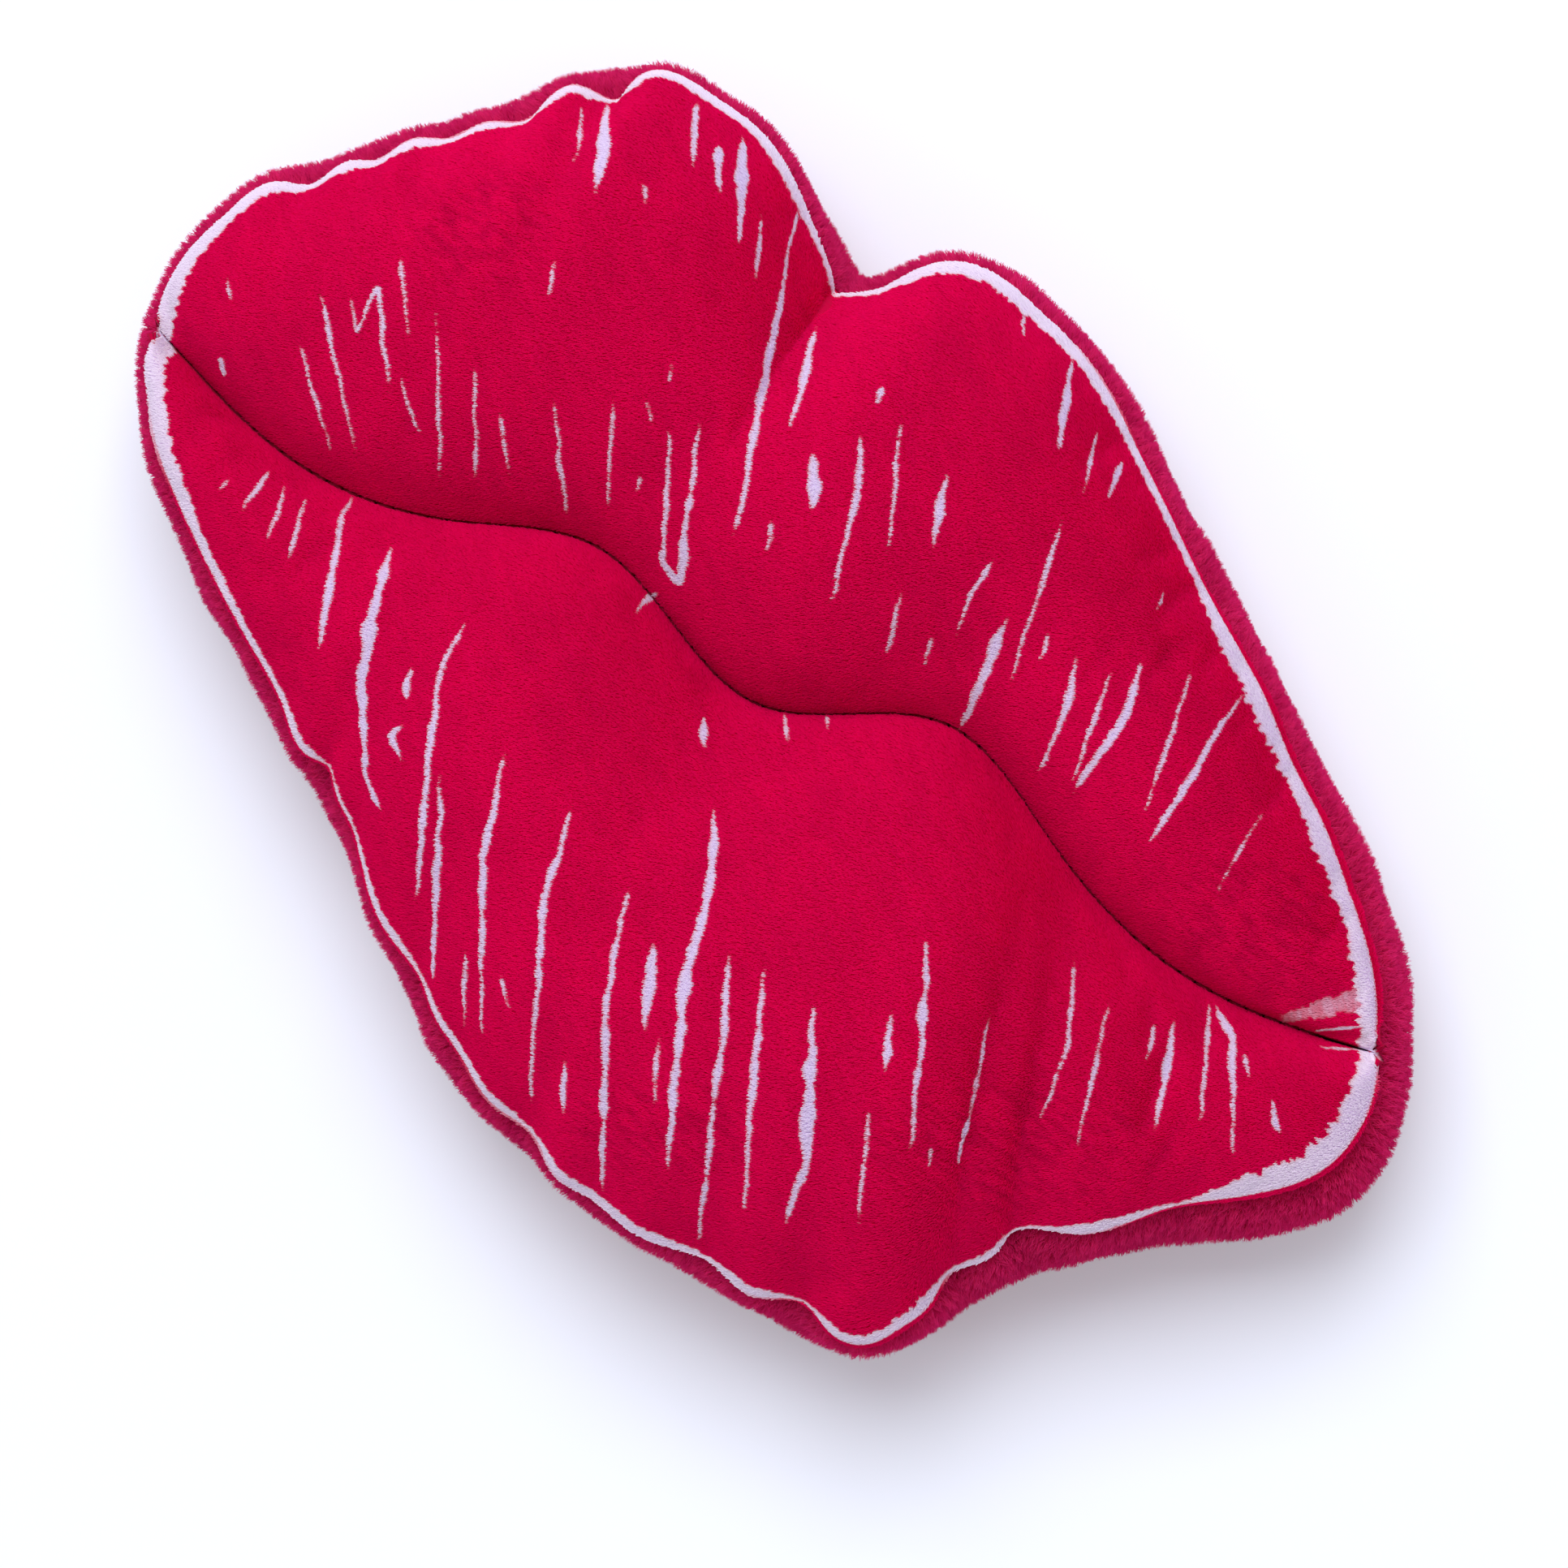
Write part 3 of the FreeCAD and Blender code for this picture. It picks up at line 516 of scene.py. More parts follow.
def blown(points):
    """A stuffed panel: cloth a little larger than its shape, held at its seams and blown up from inside."""
    first, last = TUCK_ROWS, points.shape[1] - TURN_ROWS
    rows = points[::CLOTH_STEPS[0], first:last:CLOTH_STEPS[1]]
    n, m = rows.shape[:2]
    i = np.arange(n * m).reshape(n, m)
    quads = quads_of(i)
    normals = np.cross(np.gradient(rows, axis=0), np.gradient(rows, axis=1))
    if normals[..., 2].mean() < 0:
        quads = quads[:, ::-1]
    mesh = bpy.data.meshes.new("blown")
    mesh.from_pydata((rows.reshape(-1, 3) * CLOTH_UNIT).tolist(), [], quads.tolist())
    mesh.update()
    obj = place("blown", mesh)
    held = np.concatenate([i[0], i[-1], i[:, 0], i[:, -1]])
    obj.vertex_groups.new(name="seam").add(held.tolist(), 1.0, "REPLACE")
    cloth = obj.modifiers.new("cloth", "CLOTH")
    for key, value in CLOTH_SETTINGS.items():
        setattr(cloth.settings, key, value)
    cloth.settings.effector_weights.gravity = 0
    cloth.point_cache.frame_start = 1
    cloth.point_cache.frame_end = CLOTH_FRAMES
    scene = bpy.context.scene
    for f in range(1, CLOTH_FRAMES + 1):
        scene.frame_set(f)
    done = obj.evaluated_get(bpy.context.evaluated_depsgraph_get())
    co = np.zeros(n * m * 3)
    done.data.vertices.foreach_get("co", co)
    scene.frame_set(1)
    bpy.data.objects.remove(obj)
    bpy.data.meshes.remove(mesh)
    moved = co.reshape(n, m, 3) / CLOTH_UNIT - rows
    size = np.linalg.norm(moved, axis=-1, keepdims=True)
    moved *= CLOTH_CAP * np.tanh(size / CLOTH_CAP) / np.maximum(size, 1e-9)
    wide = finer(moved, len(points), CLOTH_STEPS[0])
    full = finer(wide.swapaxes(0, 1), last - first, CLOTH_STEPS[1]).swapaxes(0, 1)
    full *= smooth(0, 0.22, np.linspace(0, 1, last - first))[None, :, None]
    full = blur(full, 2.0)
    full = blur(full.swapaxes(0, 1), 2.5).swapaxes(0, 1)
    out = points.copy()
    out[:, first:last] += full
    return out


upper.points = blown(upper.points)
lower.points = blown(lower.points)


def out_of(line, s):
    """Outward direction in plan along a seam."""
    t = unit(np.gradient(line, axis=0))
    out = np.stack([t[:, 1], -t[:, 0]], -1)
    return out * np.sign(np.sum(out * (line - mouth_line(s)), 1))[:, None]


def turned_in(edge, out, up):
    """Rows that turn an edge inwards over a small round, upwards or downwards."""
    a = np.linspace(0, EDGE_TURN, EDGE_ROWS + 1)[1:]
    xy = edge[:, None, :2] - out[:, None, :] * (ROLL * (1 - np.cos(a)))[None, :, None]
    z = edge[:, None, 2] + up * ROLL * np.sin(a)
    return np.concatenate([xy, z[..., None]], -1)


def back_seam(seam, s):
    """The back seam follows the front one with less of its puckering."""
    return blur(seam(s), 5.5 / (SEAM_LENGTH / len(s)))


def band_grid(seam, swell, n, m, seed):
    """A side band from the front seam to the back one, swollen between them and turned in at both."""
    s = np.linspace(0, 1, n)
    top = seam(s)
    low = back_seam(seam, s)
    out = out_of(blur(top, 5.0 / (SEAM_LENGTH / n)), s)
    straight = np.column_stack([np.sign(s - 0.5), np.zeros(n)])
    out = unit(straight + (out - straight) * smooth(0, 0.035, np.minimum(s, 1 - s))[:, None])
    v = np.linspace(0, 1, m - 2 * EDGE_ROWS)
    z_top = Z_FRONT - EDGE_DROP
    z_low = Z_BACK + EDGE_DROP
    arc = run_of(low)
    z = z_top + (z_low - z_top) * v
    wave = (0.65 * lattice(arc[:, None], z[None, :], 9, seed)
            + 0.3 * lattice(arc[:, None], z[None, :] * 0.4, 4.5, seed + 1))
    ends = smooth(0, 8, np.minimum(arc, arc[-1] - arc))
    swell = np.array(swell)
    swell = blur(np.interp(s, swell[:, 0], swell[:, 1]), n / 90)
    puff = (swell[:, None] + wave * ends[:, None]) * np.sin(v * math.pi)[None, :] ** 0.8
    xy = top[:, None, :] + (low - top)[:, None, :] * smooth(0, 0.4, v)[None, :, None]
    xy = xy + out[:, None, :] * puff[..., None]
    p = np.concatenate([xy, np.broadcast_to(z[None, :, None], xy.shape[:2] + (1,))], -1)
    above = turned_in(p[:, 0], out, 1)[:, ::-1]
    below = turned_in(p[:, -1], out, -1)
    return np.concatenate([above, p, below], 1)


def back_grid(n, m):
    """The back between its two seams: a flat with a rolled rim, turned in at the edge."""
    s = np.linspace(0.0012, 0.9988, n)
    spine = mouth_line(s)
    high = back_seam(upper_seam, s)
    low = back_seam(lower_seam, s)
    v = np.cos(np.linspace(0, math.pi, m - 2 * EDGE_ROWS))
    side = np.where((v > 0)[None, :, None], high[:, None, :], low[:, None, :])
    xy = spine[:, None, :] + (side - spine[:, None, :]) * np.abs(v)[None, :, None]
    tree = plan_tree(np.concatenate([high, low]))
    inset = np.array([tree.find((q[0], q[1], 0))[2] for q in xy.reshape(-1, 2)]).reshape(xy.shape[:2])
    x = 1 - np.minimum(inset, FLAT_INSET) / FLAT_INSET
    rim = Z_BACK - EDGE_DROP
    z = rim * (1 - np.sqrt(1 - x ** 2))
    z += 0.35 * (1 + lattice(xy[..., 0], xy[..., 1], 14, 31)) * smooth(0, 7, z) * smooth(0, 4, inset)
    p = np.concatenate([xy, z[..., None]], -1)
    first = turned_in(p[:, 0], out_of(high, s), 1)[:, ::-1]
    last = turned_in(p[:, -1], out_of(low, s), 1)
    return np.concatenate([first, p, last], 1)


BAND_GRID = (641, 41)
BACK_GRID = (241, 137)
upper_band = band_grid(upper_seam, UPPER_SWELL, *BAND_GRID, 41)
lower_band = band_grid(lower_seam, LOWER_SWELL, *BAND_GRID, 43)
back = back_grid(*BACK_GRID)

# The cloth's thickness in millimetres, and how much coarser its lining's grid is
CLOTH_DEPTH = 0.6
LINING_STEP = 8


def ribbon(fine, coarse):
    """Triangles between a fine row of points and a coarse one."""
    tris = []
    half = LINING_STEP // 2
    for k in range(len(coarse) - 1):
        f = fine[k * LINING_STEP:(k + 1) * LINING_STEP + 1]
        for q in range(LINING_STEP):
            tris.append((f[q], f[q + 1], coarse[k] if q < half else coarse[k + 1]))
        tris.append((f[half], coarse[k + 1], coarse[k]))
    return tris


def closed_piece(name, points, mat, masks=None):
    """Closed mesh of a grid of points, a coarser lining a little behind it, and the edges between them."""
    n, m = points.shape[:2]
    lining = (points - grid_normals(points) * CLOTH_DEPTH)[::LINING_STEP, ::LINING_STEP]
    a = np.arange(n * m).reshape(n, m)
    b = n * m + np.arange(lining.shape[0] * lining.shape[1]).reshape(lining.shape[:2])
    faces = quads_of(a).tolist() + quads_of(b).tolist()
    for fine, coarse in ((a[0], b[0]), (a[-1], b[-1]), (a[:, 0], b[:, 0]), (a[:, -1], b[:, -1])):
        faces += ribbon(fine.tolist(), coarse.tolist())
    verts = np.concatenate([points.reshape(-1, 3), lining.reshape(-1, 3)]) * MM
    mesh = bpy.data.meshes.new(name)
    mesh.from_pydata(verts.tolist(), [], faces)
    bm = bmesh.new()
    bm.from_mesh(mesh)
    bmesh.ops.recalc_face_normals(bm, faces=bm.faces)
    bm.to_mesh(mesh)
    bm.free()
    shade_smooth(mesh)
    for key, values in (masks or {}).items():
        full = np.zeros(len(verts), np.float32)
        full[:n * m] = values.ravel()
        mesh.attributes.new(key, "FLOAT", "POINT").data.foreach_set("value", full)
    mesh.materials.append(mat)
    mesh.update()
    return place(name, mesh)


# Colours of the cloth and, below, of its pile
RED = (0.58, 0.0012, 0.055, 1)
RED_DEEP = (0.52, 0.0010, 0.047, 1)
BAND_RED = (0.52, 0.009, 0.080, 1)
BAND_DEEP = (0.40, 0.005, 0.055, 1)
INK = (0.88, 0.76, 0.98, 1)
# Strands shade one another, so each is lighter than the cloth looks
PILE_RED = (0.915, 0.0018, 0.140, 1)
PILE_DEEP = (0.680, 0.0008, 0.087, 1)
PILE_BAND = (0.88, 0.032, 0.225, 1)
PILE_BAND_DEEP = (0.68, 0.012, 0.150, 1)
PILE_INK = (0.97, 0.88, 1.0, 1)
PILE_MARK = (0.91, 0.81, 1.0, 1)
THREAD_RED = (0.42, 0.004, 0.05, 1)
FILL_WHITE = (0.86, 0.86, 0.84, 1)
FILL_DEEP = (0.62, 0.61, 0.58, 1)
PLASTIC_WHITE = (0.8, 0.8, 0.78, 1)
PLASTIC_DEEP = (0.72, 0.72, 0.70, 1)


def new_material(name):
    mat = bpy.data.materials.new(name)
    mat.use_nodes = True
    tree = mat.node_tree
    return mat, tree.nodes, tree.links, tree.nodes["Principled BSDF"]


def set_inputs(node, values):
    for key, value in values.items():
        node.inputs[key].default_value = value


def attribute(tree_nodes, name):
    """An attribute of the mesh or of its pile, as a number."""
    node = tree_nodes.new("ShaderNodeAttribute")
    node.attribute_name = name
    return node.outputs["Fac"]


def mix(tree_nodes, links, factor, a, b):
    """Colour from a to b, each a colour or another node's output."""
    node = tree_nodes.new("ShaderNodeMix")
    node.data_type = "RGBA"
    links.new(factor, node.inputs["Factor"])
    for key, value in (("A", a), ("B", b)):
        socket = [i for i in node.inputs if i.name == key and i.type == "RGBA"][0]
        if isinstance(value, tuple):
            socket.default_value = value
        else:
            links.new(value, socket)
    return [o for o in node.outputs if o.type == "RGBA"][0]


def noise(tree_nodes, links, scale, detail):
    where = tree_nodes.new("ShaderNodeTexCoord")
    node = tree_nodes.new("ShaderNodeTexNoise")
    set_inputs(node, {"Scale": scale, "Detail": detail})
    links.new(where.outputs["Object"], node.inputs["Vector"])
    return node.outputs["Fac"]


def bump(tree_nodes, links, height, shader, strength, distance):
    node = tree_nodes.new("ShaderNodeBump")
    set_inputs(node, {"Strength": strength, "Distance": distance})
    links.new(height, node.inputs["Height"])
    links.new(node.outputs["Normal"], shader.inputs["Normal"])


def plush_material(name, light, deep, printed, sheen):
    """The cloth under the pile: mottled, with a fine nap and, on the front, the print."""
    mat, n, l, bsdf = new_material(name)
    colour = mix(n, l, noise(n, l, 260, 3), deep, light)
    if printed:
        colour = mix(n, l, attribute(n, "print"), colour, INK)
    l.new(colour, bsdf.inputs["Base Color"])
    set_inputs(bsdf, {"Roughness": 0.95, "Specular IOR Level": 0.03, "Sheen Weight": sheen,
                      "Sheen Roughness": 0.5, "Sheen Tint": (0.9, 0.15, 0.3, 1)})
    bump(n, l, noise(n, l, 1400, 2), bsdf, 0.5, 0.0006)
    return mat


def pile_material(name, light, deep, printed):
    """The strands: each its own tone, with the print on those of the front, and some light through them."""
    mat, n, l, bsdf = new_material(name)
    colour = mix(n, l, attribute(n, "tone"), deep, light)
    if printed:
        colour = mix(n, l, attribute(n, "mark"), colour, PILE_MARK)
        colour = mix(n, l, attribute(n, "edge"), colour, PILE_INK)
    l.new(colour, bsdf.inputs["Base Color"])
    set_inputs(bsdf, {"Roughness": 0.8, "Specular IOR Level": 0.02})
    through = n.new("ShaderNodeBsdfTranslucent")
    l.new(colour, through.inputs["Color"])
    both = n.new("ShaderNodeMixShader")
    both.inputs[0].default_value = 0.4
    l.new(bsdf.outputs[0], both.inputs[1])
    l.new(through.outputs[0], both.inputs[2])
    l.new(both.outputs[0], n["Material Output"].inputs["Surface"])
    return mat


lip_plush = plush_material("lip_plush", RED, RED_DEEP, True, 0.08)
band_plush = plush_material("band_plush", BAND_RED, BAND_DEEP, False, 0.15)
lip_pile = pile_material("lip_pile", PILE_RED, PILE_DEEP, True)
band_pile = pile_material("band_pile", PILE_BAND, PILE_BAND_DEEP, False)


def sampled(points, normals, density, dice):
    """Random places spread evenly over a grid: points and normals."""
    corner = points[:-1, :-1]
    area = np.linalg.norm(np.cross(points[1:, :-1] - corner, points[:-1, 1:] - corner), axis=-1)
    total = np.cumsum(area.ravel())
    count = int(total[-1] * density)
    pick = np.searchsorted(total, (np.arange(count) + dice.random(count)) / count * total[-1])
    i, j = np.unravel_index(pick, area.shape)
    u = dice.random(len(i))[:, None]
    v = dice.random(len(i))[:, None]

    def at(g):
        low = g[i, j] * (1 - u) + g[i + 1, j] * u
        high = g[i, j + 1] * (1 - u) + g[i + 1, j + 1] * u
        return low * (1 - v) + high * v

    return at(points), unit(at(normals))


# Places where the nap of the front is ruffled, with the sheen and shade of its fine rows painted into the
# strands' tone as lighter and darker rows: the middle of each, and its half size along the image's axes, in
# millimetres
RUFFLED_NAP_SHEEN = [(63.0, -35.4, 21, 10), (75.6, 7.3, 14, 11), (-63.7, 35.5, 12, 9), (20, -58, 16, 7)]
ROWS = unit(0.80 * IMG_RIGHT + 0.60 * IMG_DOWN)
NAP = np.array([*(-0.95 * IMG_RIGHT - 0.1 * IMG_DOWN), 0.0])
STREAK = unit(IMG_DOWN + 0.4 * IMG_RIGHT)
# No pile grows within this many millimetres of the mouth line
BARE = 0.5
# A distance straight across the mouth line, against one along Y
MOUTH_SLOPE = 0.97
# Length of the strands, lean with the nap, spread, size of their tufts, and how far they gather in them
FRONT_NAP = {"length": 0.65, "lean": 1.7, "spread": 0.28, "tuft": 0.8, "pull": 0.1}
SIDE_NAP = {"length": 2.0, "lean": 0.4, "spread": 0.5, "tuft": 1.3, "pull": 0.7}
# Half thickness of a strand at its root, middle and tip, and how much thicker the front's and print's are
SIDE_STRAND = np.array([0.048, 0.045, 0.018])
FRONT_STRAND = np.array([0.048, 0.045, 0.028])
FRONT_THICK = 1.25
INK_THICK = 0.5
# Makes one number of a tuft's three
HASH = 8191


def pile(piece, points, density, mat, seed, lip=None, *, length, lean, spread, tuft, pull):
    """Short pile on a piece: strands that lean with the nap and gather in tufts."""
    dice = np.random.default_rng(seed)
    root, up = sampled(points, grid_normals(points), density, dice)
    if lip is not None:
        gap = np.abs(root[:, 1] - np.interp(root[:, 0], MOUTH_TRACK[:, 0], MOUTH_TRACK[:, 1])) * MOUTH_SLOPE
        root, up = root[gap > BARE], up[gap > BARE]
    n = len(root)
    nap = NAP - up * (up @ NAP)[:, None]
    loose = dice.normal(0, 1, (n, 3))
    loose -= up * np.sum(loose * up, 1)[:, None]
    way = unit(up + lean * nap + spread * loose)
    long = length * (0.75 + 0.4 * dice.random(n))[:, None]
    if lip is None:
        to_seam = np.minimum(np.abs(Z_FRONT - root[:, 2]), np.abs(root[:, 2] - Z_BACK))
        long *= (0.4 + 0.6 * smooth(0, 3.5, to_seam))[:, None]
    cell = np.floor((root + dice.normal(0, 0.22 * tuft, (n, 3))) / tuft).astype(np.int64)
    code = (cell[:, 0] * HASH + cell[:, 1]) * HASH + cell[:, 2]
    _, which = np.unique(code, return_inverse=True)
    count = np.bincount(which)
    heart = np.stack([np.bincount(which, root[:, c]) / count for c in range(3)], -1)[which]
    heart_way = unit(np.stack([np.bincount(which, way[:, c]) for c in range(3)], -1))[which]
    tip = (root + way * long) * (1 - pull) + (heart + heart_way * long) * pull
    mid = root + up * long * 0.45 + (tip - root - up * long) * 0.25
    base = root - up * 0.15
    tuft_tone = dice.random(len(count))[which]
    along = root[:, :2] @ STREAK
    streak = lattice(root[:, 0] * STREAK[1] - root[:, 1] * STREAK[0], along * 0.3, 1.1, seed + 9)
    if lip is None:
        tone = 0.55 + 0.15 * streak + 0.8 * (tuft_tone - 0.5) + 0.15 * dice.normal(0, 1, n)
    else:
        tone = 0.86 + 0.12 * streak + 0.08 * (tuft_tone - 0.5) + 0.04 * dice.normal(0, 1, n)
        rows = lattice(root[:, 0] * ROWS[1] - root[:, 1] * ROWS[0], root[:, :2] @ ROWS * 0.3, 0.55, seed + 10)
        # Painted sheen and shade: the ruffled nap's rows are lighter and darker strand tones, not strands
        # turned another way
        for x, y, wide, high in RUFFLED_NAP_SHEEN:
            off = root[:, :2] - [x, y]
            inside = smooth(1.2, 0.5, np.hypot(off @ IMG_RIGHT / wide, off @ IMG_DOWN / high))
            tone += inside * (0.48 * rows - 0.05)
        tone += 0.12 * lattice(root[:, 0], root[:, 1], 9, seed + 11)
    tone = np.clip(tone, 0, 1)
    curves = bpy.data.hair_curves.new(piece.name + "_pile")
    curves.add_curves([3] * n)
    co = np.stack([base, mid, tip], 1) * MM
    curves.attributes["position"].data.foreach_set("vector", co.astype(np.float32).ravel())
    inks = {}
    thick = np.full(n, 1.0 if lip is None else FRONT_THICK)
    if lip is not None:
        seen = root + (tip - root) * 0.7
        inks = {"mark": smooth(0.15, 0.75, marks_at(seen)), "edge": smooth(0.15, 0.75, lip.edge_at(seen))}
        thick += INK_THICK * np.maximum(inks["mark"], inks["edge"])
    radius = thick[:, None] * (SIDE_STRAND if lip is None else FRONT_STRAND) * MM
    if "radius" not in curves.attributes:
        curves.attributes.new("radius", "FLOAT", "POINT")
    curves.attributes["radius"].data.foreach_set("value", radius.astype(np.float32).ravel())
    curves.attributes.new("tone", "FLOAT", "CURVE").data.foreach_set("value", tone.astype(np.float32))
    for key, values in inks.items():
        curves.attributes.new(key, "FLOAT", "CURVE").data.foreach_set("value", values.astype(np.float32))
    curves.materials.append(mat)
    place(piece.name + "_pile", curves).parent = piece


def add_piece(obj, slot, *replaced):
    """Ties a piece to the frame's root body and hides the nodes that it stands for; its slot is not used."""
    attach(obj, "root")
    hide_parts(*replaced)


# Strands per square millimetre
FRONT_DENSITY = 36
SIDE_DENSITY = 12
BACK_DENSITY = 8
for name, lip, seed in (("upper_lip", upper, 61), ("lower_lip", lower, 62)):
    ink = np.maximum(marks_at(lip.points), lip.edge_at(lip.points))
    # The print runs a little way round the seam's turn
    half_turn = TURN_ROWS // 2
    ink[:, -TURN_ROWS:-half_turn] = ink[:, -TURN_ROWS - 1:-TURN_ROWS]
    ink[:, -half_turn:] = 0
    obj = closed_piece(name, lip.points, lip_plush, {"print": ink})
    add_piece(obj, "lip_plush", name + "_panel")
    pile(obj, lip.points[4:-4, TUCK_ROWS:-TURN_ROWS], FRONT_DENSITY, lip_pile, seed, lip, **FRONT_NAP)
for name, grid, node, density, seed in (
        ("upper_band", upper_band, "upper_side_band", SIDE_DENSITY, 63),
        ("lower_band", lower_band, "lower_side_band", SIDE_DENSITY, 64),
        ("back", back, "back_panel", BACK_DENSITY, 65)):
    obj = closed_piece(name, grid, band_plush)
    add_piece(obj, "band_plush", node)
    pile(obj, grid[:, 3:-3], density, band_pile, seed, **SIDE_NAP)

# Sewing: rows of machine stitches along the seams, and the ladder stitches that close the back
thread_mat, tn, tl, thread_bsdf = new_material("thread")
set_inputs(thread_bsdf, {"Base Color": THREAD_RED, "Roughness": 0.6, "Specular IOR Level": 0.2})
bump(tn, tl, noise(tn, tl, 5000, 1), thread_bsdf, 0.4, 0.0002)

# Lengths in millimetres, and the thickness along a stitch as shares of the thread's
STITCH_PITCH = 2.6
STITCH_LENGTH = 2.3
LADDER_LENGTH = 2.6
STITCH_PROFILE = np.array([0.45, 0.9, 1.0, 0.9, 0.45])
STITCH_SIDES = 8
THREAD = 0.6
MOUTH_THREAD = 0.5
LADDER_THREAD = 0.55
FRONT_INSET = 0.7
BACK_INSET = 0.6
MOUTH_SEAM_DEPTH = 4.2
# Where the back seam is left open, as points of its path, and the stitches that close it
CLOSING = (210, 362)
LADDER_COUNT = 11
LADDER_POINTS = 9
LADDER_REACH = 1.3


def stitches(name, paths, length, thick, node):
    """Short rounded stitches laid along lines of points in millimetres."""
    verts = []
    faces = []
    rings = len(STITCH_PROFILE)
    turn = np.arange(STITCH_SIDES) / STITCH_SIDES * 2 * math.pi
    for path in paths:
        run = run_of(path)
        for k in range(max(1, int(run[-1] / STITCH_PITCH))):
            at = (k + 0.5) * STITCH_PITCH + np.linspace(-0.5, 0.5, rings) * length
            mid = np.stack([np.interp(at, run, path[:, c]) for c in range(3)], -1)
            t = unit(mid[-1] - mid[0])
            a = unit(np.cross(t, [0.31, 0.22, 0.92]))
            b = np.cross(t, a)
            ring = np.cos(turn)[:, None] * a + np.sin(turn)[:, None] * b
            i = len(verts) + np.arange(rings * STITCH_SIDES).reshape(rings, STITCH_SIDES)
            j = np.roll(i, -1, axis=1)
            for q, w in zip(mid, STITCH_PROFILE):
                verts += (q + ring * thick / 2 * w).tolist()
            faces += np.stack([i[:-1], j[:-1], j[1:], i[1:]], -1).reshape(-1, 4).tolist()
            faces += [i[0, ::-1].tolist(), i[-1].tolist()]
    mesh = bpy.data.meshes.new(name)
    mesh.from_pydata((np.array(verts) * MM).tolist(), [], faces)
    shade_smooth(mesh)
    mesh.materials.append(thread_mat)
    add_piece(place(name, mesh), "thread", node)


def seam_path(seam, z, inset, soft=False):
    """Line of points at a height along a seam and a little in from it."""
    s = np.linspace(0.003, 0.997, 900)
    line = back_seam(seam, s) if soft else seam(s)
    line = line - out_of(blur(line, 16), s) * inset
    return np.column_stack([line, np.full(len(s), z)])


front_paths = [seam_path(seam, Z_FRONT, FRONT_INSET) for seam in (upper_seam, lower_seam)]
stitches("front_stitches", front_paths, STITCH_LENGTH, THREAD, "front_seam_thread")
line_mouth = mouth_line(np.linspace(0.03, 0.97, 900))
mouth_path = np.column_stack([line_mouth, mouth_height(line_mouth) - MOUTH_SEAM_DEPTH])
stitches("mouth_stitches", [mouth_path], STITCH_LENGTH, MOUTH_THREAD, "mouth_seam_thread")
corner_paths = []
for corner, away in ((np.array(LEFT), -1), (np.array(RIGHT), 1)):
    v = np.linspace(0.03, 0.97, 60)
    x = corner[0] + away * (BULGE * np.sin(v * math.pi) - 0.5)
    z = Z_FRONT - 1 + (Z_BACK - Z_FRONT + 2) * v
    corner_paths.append(np.column_stack([x, np.full(60, corner[1]), z]))
stitches("corner_stitches", corner_paths, STITCH_LENGTH, THREAD, "corner_seam_threads")
high_path = seam_path(upper_seam, Z_BACK, BACK_INSET, True)
low_path = seam_path(lower_seam, Z_BACK, BACK_INSET, True)
back_paths = [high_path, low_path[:CLOSING[0]], low_path[CLOSING[1]:]]
stitches("back_stitches", back_paths, STITCH_LENGTH, THREAD, "back_seam_thread")
ladder = []
for k in range(LADDER_COUNT):
    q = low_path[int(CLOSING[0] + (k + 0.5) * (CLOSING[1] - CLOSING[0]) / LADDER_COUNT)]
    way = unit(np.array([q[0], q[1]]) - mouth_line(np.array([0.28]))[0])
    bow = np.sin(np.linspace(0, math.pi, LADDER_POINTS)) * 0.7 + 0.2
    z = Z_BACK + np.linspace(-LADDER_REACH, LADDER_REACH, LADDER_POINTS)
    ladder.append(np.column_stack([q[0] + way[0] * bow, q[1] + way[1] * bow, z]))
stitches("ladder_stitches", ladder, LADDER_LENGTH, LADDER_THREAD, "closing_stitches")

# Fibre filling: the two cores, drawn in a little and lumpy; the voxels in metres, the rest in millimetres
FILL_VOXEL = 0.0022
FILL_INSET = 0.9
FILL_LUMP = 0.7
FILL_PITCH = 7
fill_mat, fn, fl, fill_bsdf = new_material("fibre_fill")
fl.new(mix(fn, fl, noise(fn, fl, 300, 4), FILL_DEEP, FILL_WHITE), fill_bsdf.inputs["Base Color"])
set_inputs(fill_bsdf, {"Roughness": 0.9})
bump(fn, fl, noise(fn, fl, 900, 4), fill_bsdf, 0.6, 0.001)
for name, node in (("upper_fill", "upper_lip_stuffing"), ("lower_fill", "lower_lip_stuffing")):
    obj = place(name, nodes[node].data.copy())
    obj.data.materials.clear()
    obj.data.materials.append(fill_mat)
    remesh = obj.modifiers.new("remesh", "REMESH")
    remesh.mode = "VOXEL"
    remesh.voxel_size = FILL_VOXEL
    deps = bpy.context.evaluated_depsgraph_get()
    mesh = bpy.data.meshes.new_from_object(obj.evaluated_get(deps))
    obj.modifiers.clear()
    obj.data = mesh
    co = np.zeros(len(mesh.vertices) * 3)
    no = np.zeros(len(mesh.vertices) * 3)
    mesh.vertices.foreach_get("co", co)
    mesh.vertices.foreach_get("normal", no)
    co = co.reshape(-1, 3)
    no = no.reshape(-1, 3)
    lump = lattice(co[:, 0] / MM + co[:, 2] / MM * 0.7, co[:, 1] / MM - co[:, 2] / MM * 0.4, FILL_PITCH, 71)
    co = co - no * ((FILL_INSET + FILL_LUMP * lump) * MM)[:, None]
    mesh.vertices.foreach_set("co", co.ravel())
    mesh.update()
    shade_smooth(mesh)
    add_piece(obj, "fibre_fill", node)

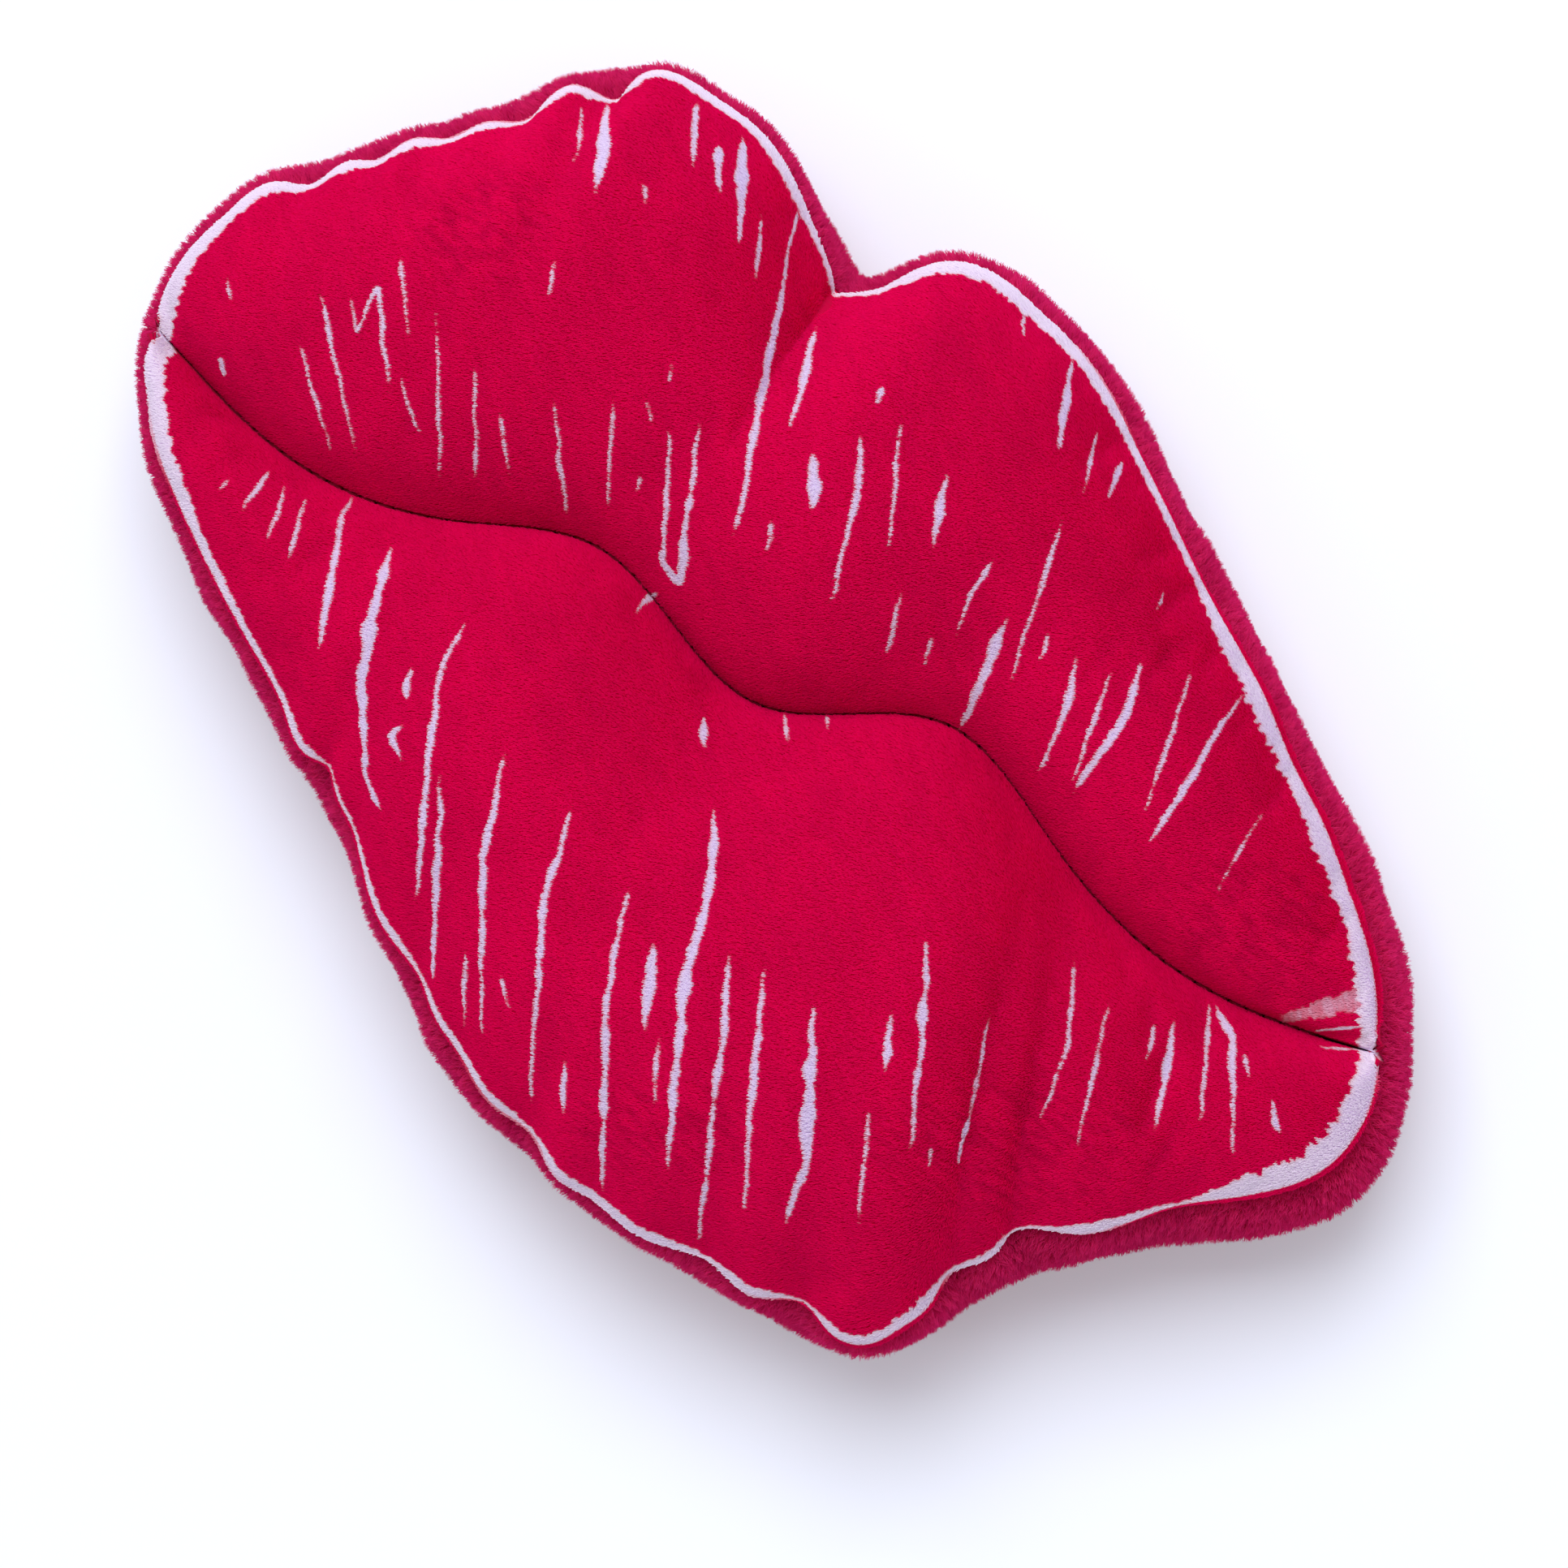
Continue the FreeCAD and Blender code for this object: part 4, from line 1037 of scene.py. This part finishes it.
# The squeaker keeps its solids and gets a plastic finish
plastic, pn, pl, plastic_bsdf = new_material("squeaker_plastic")
pl.new(mix(pn, pl, noise(pn, pl, 120, 2), PLASTIC_DEEP, PLASTIC_WHITE), plastic_bsdf.inputs["Base Color"])
set_inputs(plastic_bsdf, {"Roughness": 0.45})
bump(pn, pl, noise(pn, pl, 2500, 2), plastic_bsdf, 0.15, 0.0002)
for name in ("squeaker_bulb", "squeaker_reed"):
    nodes[name].data.materials.clear()
    nodes[name].data.materials.append(plastic)

# Camera, floor and light, in metres
FLOOR_HALF = 4
FLOOR_COLOUR = (0.80, 0.855, 1.0, 1)
FLOOR_GLOW = (0.16, 0.16, 0.16, 1)
KEY_POWER = 35.5
KEY_SIZE = 1.5
KEY_DISTANCE = 2.2
KEY_SLANT = 0.42
KEY_HEIGHT = 0.9
WORLD_LIGHT = 0.5
cam = place("camera", bpy.data.cameras.new("camera"))
cam.matrix_world = Matrix((view_right.tolist(), view_up.tolist(), view_back.tolist())).transposed().to_4x4()
cam.matrix_world.translation = Vector(eye * MM)
cam.data.sensor_fit = "HORIZONTAL"
cam.data.angle = 2 * math.atan(HALF_VIEW / DISTANCE)
bpy.context.scene.camera = cam

floor_mesh = bpy.data.meshes.new("floor")
floor_corners = [(x * FLOOR_HALF, y * FLOOR_HALF, 0) for x, y in ((-1, -1), (1, -1), (1, 1), (-1, 1))]
floor_mesh.from_pydata(floor_corners, [], [(0, 1, 2, 3)])
floor = place("floor", floor_mesh)
floor_mat, n, l, floor_bsdf = new_material("floor")
set_inputs(floor_bsdf, {"Base Color": FLOOR_COLOUR, "Roughness": 1.0, "Specular IOR Level": 0.0})
# The floor looks a little lighter than it is lit, and keeps the toy's shadow
path = n.new("ShaderNodeLightPath")
surface = floor_bsdf.outputs[0]
for ray in ("Is Camera Ray", "Is Glossy Ray", "Is Transmission Ray"):
    glow = n.new("ShaderNodeEmission")
    set_inputs(glow, {"Color": FLOOR_GLOW})
    l.new(path.outputs[ray], glow.inputs["Strength"])
    both = n.new("ShaderNodeAddShader")
    l.new(surface, both.inputs[0])
    l.new(glow.outputs[0], both.inputs[1])
    surface = both.outputs[0]
l.new(surface, n["Material Output"].inputs["Surface"])
floor.data.materials.append(floor_mat)

key = place("key", bpy.data.lights.new("key", "AREA"))
key.data.energy = KEY_POWER
key.data.size = KEY_SIZE
slant = -KEY_SLANT * IMG_DOWN
toward = Vector((slant[0], slant[1], KEY_HEIGHT)).normalized()
key.location = toward * KEY_DISTANCE
key.rotation_mode = "QUATERNION"
key.rotation_quaternion = (-toward).to_track_quat("-Z", "Y")
world = bpy.data.worlds.new("world")
bpy.context.scene.world = world
world.use_nodes = True
set_inputs(world.node_tree.nodes["Background"], {"Color": (1, 1, 1, 1), "Strength": WORLD_LIGHT})
bpy.context.scene.view_settings.view_transform = "Standard"
